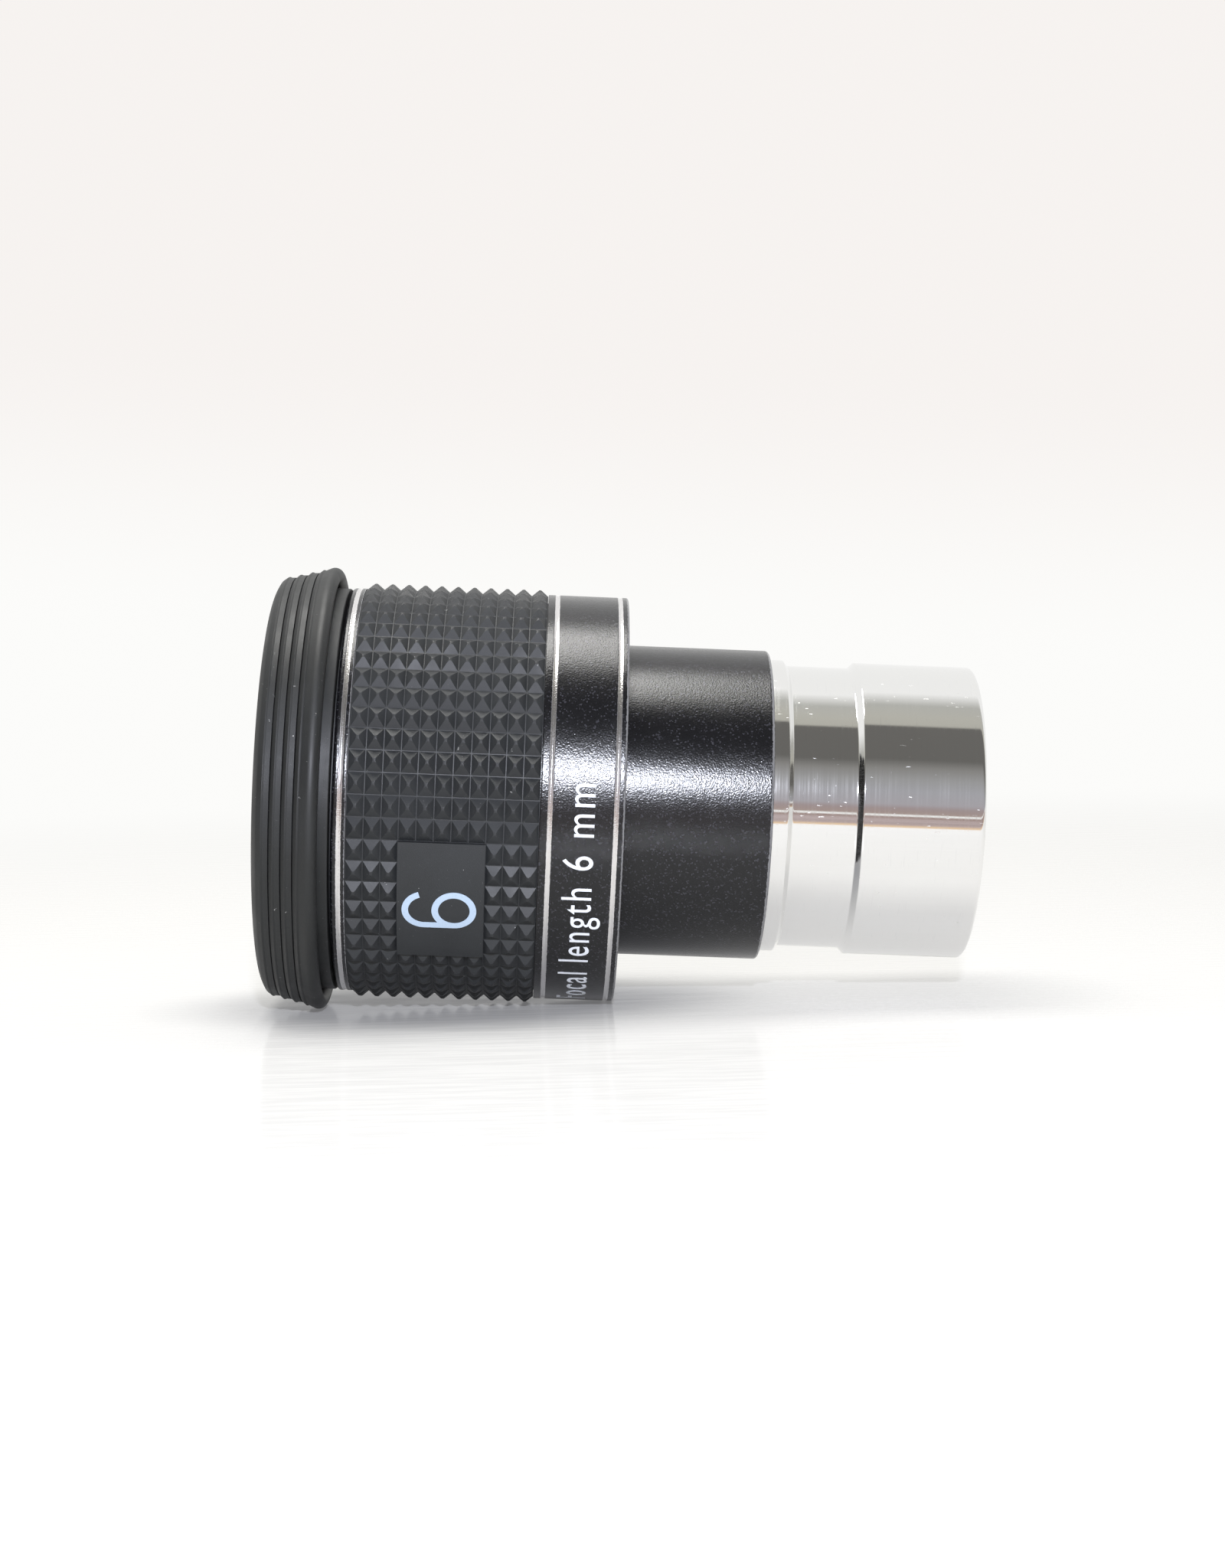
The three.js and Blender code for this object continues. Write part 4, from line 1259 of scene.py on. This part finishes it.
class EYEPIECE_OT_lettering(bpy.types.Operator):
    """Print the numeral on the label panel and the figures on the band"""

    bl_idname = "eyepiece.lettering"
    bl_label = "Lettering"

    def lay(self, piece, station, turned_by, radius):
        """Lays a flat drawing on the sleeve's front, its tops towards the eye end, and thickens it."""
        sunk = 0.05 * MM
        piece.matrix_world = Matrix(
            ((0, -1, 0, station), (0, 0, -1, sunk), (1, 0, 0, turned_by * radius), (0, 0, 0, 1))
        )
        choose(piece)
        bpy.ops.object.transform_apply()
        edit(piece)
        extrude(0.0, -(sunk + settings("lettering").raised), 0.0)
        weld()

    def bend_round(self, piece, radius, ink):
        """Slices a drawing that lies on the sleeve's front and bends it round the sleeve."""
        heights = [v.co.z for v in piece.data.vertices]
        low, high = min(heights), max(heights)
        step = 0.45 * MM
        edit(piece)
        for k in range(1, int((high - low) / step) + 1):
            bpy.ops.mesh.select_all(action="SELECT")
            bpy.ops.mesh.bisect(plane_co=(0.0, 0.0, low + k * step), plane_no=(0.0, 0.0, 1.0))
        stop_editing()
        bpy.ops.object.modifier_add(type="SIMPLE_DEFORM")
        bend = piece.modifiers[-1]
        bend.deform_method = "BEND"
        bend.deform_axis = "X"
        bend.angle = (high - low) / radius
        bpy.ops.object.modifier_apply(modifier=bend.name)
        edit(piece)
        bpy.ops.transform.translate(value=(0.0, -radius, 0.0))
        stop_editing()
        finished(piece, "sleeve", ink, 30.0)

    def bowl(self, wide, high, stroke):
        """The figure's round bowl: an oval loop given its stroke inwards."""
        deselect()
        bpy.ops.mesh.primitive_circle_add(vertices=72, radius=1.0)
        piece = applied("panel_numeral", scale=(wide / 2, high / 2, 1.0))
        edit(piece)
        bpy.ops.mesh.extrude_region_move()
        inner = (1 - 2 * stroke / wide, 1 - 2 * stroke / high, 1.0)
        bpy.ops.transform.resize(value=inner, center_override=ORIGIN)
        stop_editing()
        return piece

    def stem(self, wide, high, bowl_high, stroke):
        """The figure's stem: a strip that hooks over the top and comes down into the bowl's side."""
        turned_share = 0.82
        hook = math.radians(16.0)
        middle_high = high - bowl_high / 2
        reach = Vector(((wide - stroke) / 2, high - middle_high - stroke / 2))
        deselect()
        bpy.ops.mesh.primitive_grid_add(x_subdivisions=48, y_subdivisions=1, size=1.0)
        piece = bpy.context.object
        for vertex in piece.data.vertices:
            along = vertex.co.x + 0.5
            swing = hook + (math.pi - hook) * min(1.0, along / turned_share)
            across = Vector((math.cos(swing) / reach.x, math.sin(swing) / reach.y)).normalized()
            across *= vertex.co.y * stroke
            straight = max(0.0, (along - turned_share) / (1 - turned_share))
            down = straight * (middle_high - bowl_high / 2)
            y = middle_high - high / 2 + reach.y * math.sin(swing) + across.y - down
            vertex.co = Vector((reach.x * math.cos(swing) + across.x, y, 0.0))
        return piece

    def figure_six(self):
        t = settings("lettering")
        radius = settings("grip").panel_radius
        bowl_high = 0.60 * t.numeral_height
        bowl = self.bowl(t.numeral_width, bowl_high, t.numeral_stroke)
        stem = self.stem(t.numeral_width, t.numeral_height, bowl_high, t.numeral_stroke)
        drop = (t.numeral_height - bowl_high) / 2
        self.lay(bowl, t.numeral_station + drop, t.numeral_angle, radius)
        self.lay(stem, t.numeral_station, t.numeral_angle, radius)
        combine(bowl, [stem], "UNION")
        self.bend_round(bowl, radius, material_of("numeral_ink", printed_ink, t.numeral_ink))

    def band(self):
        t = settings("lettering")
        deselect()
        bpy.ops.object.text_add()
        text = bpy.context.object.data
        text.body = t.words
        text.space_character = t.band_spacing
        text.resolution_u = 8
        bpy.ops.object.convert(target="MESH")
        piece = bpy.context.object
        piece.name = piece.data.name = "band_figures"
        first_letter = 0.5
        tall = max(v.co.y for v in piece.data.vertices if v.co.x < first_letter)
        end = max(v.co.x for v in piece.data.vertices)
        edit(piece)
        bpy.ops.transform.translate(value=(-end, -tall / 2, 0.0))
        grow = t.band_height / tall
        bpy.ops.transform.resize(value=(grow * t.band_squeeze, grow, 1.0), center_override=ORIGIN)
        stop_editing()
        self.lay(piece, t.band_station, t.band_end, SLEEVE_RADIUS)
        self.bend_round(piece, SLEEVE_RADIUS, material_of("band_ink", printed_ink, t.band_ink))

    def execute(self, context):
        self.figure_six()
        self.band()
        return {"FINISHED"}


# ---------------------------------------------------------------- stage

# Light from the room, by the share of half a turn from straight ahead, over the top, to behind.
ROOM = [
    (0.000, (0.42, 0.33, 0.30)),
    (0.026, (0.39, 0.32, 0.32)),
    (0.044, (0.43, 0.41, 0.44)),
    (0.100, (0.41, 0.41, 0.44)),
    (0.150, (0.36, 0.36, 0.365)),
    (0.200, (0.27, 0.265, 0.255)),
    (0.240, (0.15, 0.146, 0.138)),
    (0.398, (0.155, 0.150, 0.142)),
    (0.408, (0.50, 0.49, 0.44)),
    (0.450, (0.52, 0.51, 0.46)),
    (0.520, (0.50, 0.50, 0.47)),
    (0.600, (0.98, 0.98, 0.97)),
    (1.000, (0.95, 0.95, 0.94)),
]


def studio_world():
    """White behind and overhead, and a dim warm room in front of the object."""
    world = bpy.data.worlds.new("studio")
    bpy.context.scene.world = world
    world.use_nodes = True
    tree = world.node_tree
    tree.nodes.clear()
    direction = tree.nodes.new("ShaderNodeTexCoord").outputs["Generated"]
    parts = add(tree, "ShaderNodeSeparateXYZ", {0: direction}).outputs
    height = maths(tree, "ARCTAN2", parts[2], times(tree, parts[1], -1.0))
    ramp = add(tree, "ShaderNodeValToRGB", {0: maths(tree, "DIVIDE", height, math.pi)})
    elements = ramp.color_ramp.elements
    while len(elements) < len(ROOM):
        elements.new(0.5)
    for element, (position, tone) in zip(elements, ROOM):
        element.position = position
        element.color = (*tone, 1.0)
    around = add(tree, "ShaderNodeBackground", {"Color": ramp.outputs[0], "Strength": 1.0})
    high = between(tree, parts[2], 0.0, 0.11)
    backdrop = blend_colour(tree, high, BACKDROP, (0.925, 0.893, 0.873))
    white = add(tree, "ShaderNodeBackground", {"Color": backdrop, "Strength": 1.0})
    seen = tree.nodes.new("ShaderNodeLightPath").outputs["Is Camera Ray"]
    mixed = add(tree, "ShaderNodeMixShader", {0: seen, 1: around.outputs[0], 2: white.outputs[0]})
    feed(tree.nodes.new("ShaderNodeOutputWorld"), Surface=mixed.outputs[0])


def area_light(name, place, width, depth, watts, tone):
    """A light that shines on the axis at its own station."""
    deselect()
    bpy.ops.object.light_add(type="AREA", location=place)
    lamp = bpy.context.object
    lamp.name = name
    lamp.data.shape = "RECTANGLE"
    lamp.data.size = width
    lamp.data.size_y = depth
    lamp.data.energy = watts
    lamp.data.color = tone
    lamp.visible_camera = False
    aim = Vector((place[0], 0.0, 0.0)) - Vector(place)
    lamp.rotation_euler = aim.to_track_quat("-Z", "Y").to_euler()


def floor_finish():
    """Slightly glossy white board that turns to plain white far from the object, with a painted shadow under
    the sleeve.
    """
    s = settings("stage")
    material, tree, shader, place = new_material(
        "white_board", Specular_IOR_Level=0.0, Coat_Roughness=0.12, Emission_Strength=1.0
    )
    smear = effect(tree, "handling", place, Patch_Size=30.0)
    streaks = noise(tree, stretched(tree, place, (90.0, 900.0, 90.0)), 1.0, 3.0, 0.6)
    tone = s.floor_colour
    look = tinted(tree, tone, smear["Value"], share=0.2, tone=[c * 0.97 for c in tone])
    far = between(tree, vector_maths(tree, "LENGTH", "Value", place), 0.10, 0.40)
    # Painted shadow: in an oval under the sleeve the board's glow drops to a dim grey, standing in for the
    # room's light that the object keeps off the board.
    centred = vector_maths(tree, "ADD", "Vector", place, (0.033, 0.0, 0.0))
    painted_shadow_oval = stretched(tree, centred, (1 / 0.028, 1 / 0.019, 0.0))
    outside_painted_shadow = between(tree, vector_maths(tree, "LENGTH", "Value", painted_shadow_oval), 0.6, 1.3)
    room = blend_colour(tree, outside_painted_shadow, (0.16, 0.16, 0.165), s.floor_glow)
    shine = between(tree, streaks, 0.35, 0.65, 0.16, 0.36)
    feed(
        shader,
        Base_Color=blend_colour(tree, far, look, (0.0, 0.0, 0.0)),
        Emission_Color=blend_colour(tree, far, room, BACKDROP),
        Coat_Weight=blend_value(tree, far, shine, 0.0),
        Roughness=between(tree, smear["Value"], 0.0, 1.0, 0.50, 0.60),
    )
    return material


def glowing_table_finish():
    """Glowing planks, with a painted pool of warm light along the front edge."""
    material, tree, shader, place = new_material(
        "warm_table", Base_Color=(0.0, 0.0, 0.0), Roughness=1.0, Emission_Strength=1.0
    )
    depth = add(tree, "ShaderNodeSeparateXYZ", {0: place}).outputs[1]
    planks = noise(tree, stretched(tree, place, (3.0, 60.0, 1.0)), 1.0, 3.0, 0.7)
    look = blend_colour(tree, between(tree, planks, 0.4, 0.6), (0.43, 0.32, 0.29), (0.25, 0.17, 0.15))
    # Painted light: a warm orange band along the table's front edge.
    look = blend_colour(tree, between(tree, depth, -0.145, -0.124), look, (0.74, 0.50, 0.27))
    feed(shader, Emission_Color=look)
    return material


class EYEPIECE_OT_stage(bpy.types.Operator):
    """Lay the white floor, hang the lights and stand the camera"""

    bl_idname = "eyepiece.stage"
    bl_label = "Stage"

    def table_edge(self, slope):
        """A glowing card standing for a warm table top ahead of the white board, which only shows in polished
        surfaces: a painted reflection.
        """
        near, far, half = -0.116, -0.60, 1.0
        height = settings("stage").floor_height + 0.5 * MM
        deselect()
        bpy.ops.mesh.primitive_grid_add(
            x_subdivisions=1,
            y_subdivisions=1,
            size=1.0,
            location=(0.0, (near + far) / 2, height),
            rotation=slope,
        )
        card = applied(scale=(2 * half, near - far, 1.0))
        card.name = "table_edge"
        card.data.materials.append(glowing_table_finish())
        card.visible_camera = False
        card.visible_diffuse = False
        card.visible_shadow = False

    def execute(self, context):
        s = settings("stage")
        slope = (0.0, -math.atan(s.floor_slope), 0.0)
        deselect()
        bpy.ops.mesh.primitive_circle_add(
            vertices=96,
            radius=s.floor_radius,
            fill_type="NGON",
            location=(0.0, 0.0, s.floor_height),
            rotation=slope,
        )
        floor = applied()
        floor.name = "floor"
        floor.data.materials.append(floor_finish())
        self.table_edge(slope)
        studio_world()
        area_light(
            "overhead_softbox", (-0.135, 0.055, 0.55), width=0.33, depth=0.28, watts=2.9, tone=(1.0, 0.99, 0.96)
        )
        area_light(
            "front_flash", (-0.02, -0.37, 0.118), width=0.012, depth=0.012, watts=1.75, tone=(0.86, 0.89, 1.0)
        )
        deselect()
        turns = [math.radians(a) for a in CAMERA_TURN]
        bpy.ops.object.camera_add(location=CAMERA_PLACE, rotation=turns)
        camera = bpy.context.object
        camera.data.lens = s.lens
        camera.data.sensor_width = 36.0
        camera.data.clip_start = 0.01
        camera.data.clip_end = 20.0
        context.scene.camera = camera
        context.scene.view_settings.view_transform = "Standard"
        return {"FINISHED"}


OPERATORS = [
    EYEPIECE_OT_barrel,
    EYEPIECE_OT_lower_body,
    EYEPIECE_OT_sleeve,
    EYEPIECE_OT_grip,
    EYEPIECE_OT_eyecup,
    EYEPIECE_OT_eye_lens_group,
    EYEPIECE_OT_field_lens_group,
    EYEPIECE_OT_twist_parts,
    EYEPIECE_OT_lettering,
    EYEPIECE_OT_stage,
]


class EYEPIECE_PT_panel(bpy.types.Panel):
    """Lists the pieces in the order in which they are made"""

    bl_idname = "EYEPIECE_PT_panel"
    bl_label = "Telescope eyepiece"
    bl_space_type = "VIEW_3D"
    bl_region_type = "UI"
    bl_category = "Eyepiece"

    def draw(self, context):
        for operator in OPERATORS:
            self.layout.operator(operator.bl_idname)
        for name, kind in SETTINGS.items():
            box = self.layout.box()
            for key in kind.__annotations__:
                box.prop(settings(name), key)


def register():
    for kind in SETTINGS.values():
        bpy.utils.register_class(kind)
    for name, kind in SETTINGS.items():
        setattr(bpy.types.Scene, "eyepiece_" + name, PointerProperty(type=kind))
    for kind in [*OPERATORS, EYEPIECE_PT_panel]:
        bpy.utils.register_class(kind)


def unregister():
    for kind in [EYEPIECE_PT_panel, *reversed(OPERATORS)]:
        bpy.utils.unregister_class(kind)
    for name in SETTINGS:
        delattr(bpy.types.Scene, "eyepiece_" + name)
    for kind in reversed(list(SETTINGS.values())):
        bpy.utils.unregister_class(kind)


def main():
    register()
    bpy.ops.eyepiece.barrel()
    bpy.ops.eyepiece.lower_body()
    bpy.ops.eyepiece.sleeve()
    bpy.ops.eyepiece.grip()
    bpy.ops.eyepiece.eyecup()
    bpy.ops.eyepiece.eye_lens_group()
    bpy.ops.eyepiece.field_lens_group()
    bpy.ops.eyepiece.twist_parts()
    bpy.ops.eyepiece.lettering()
    bpy.ops.eyepiece.stage()


if __name__ == "__main__":
    main()
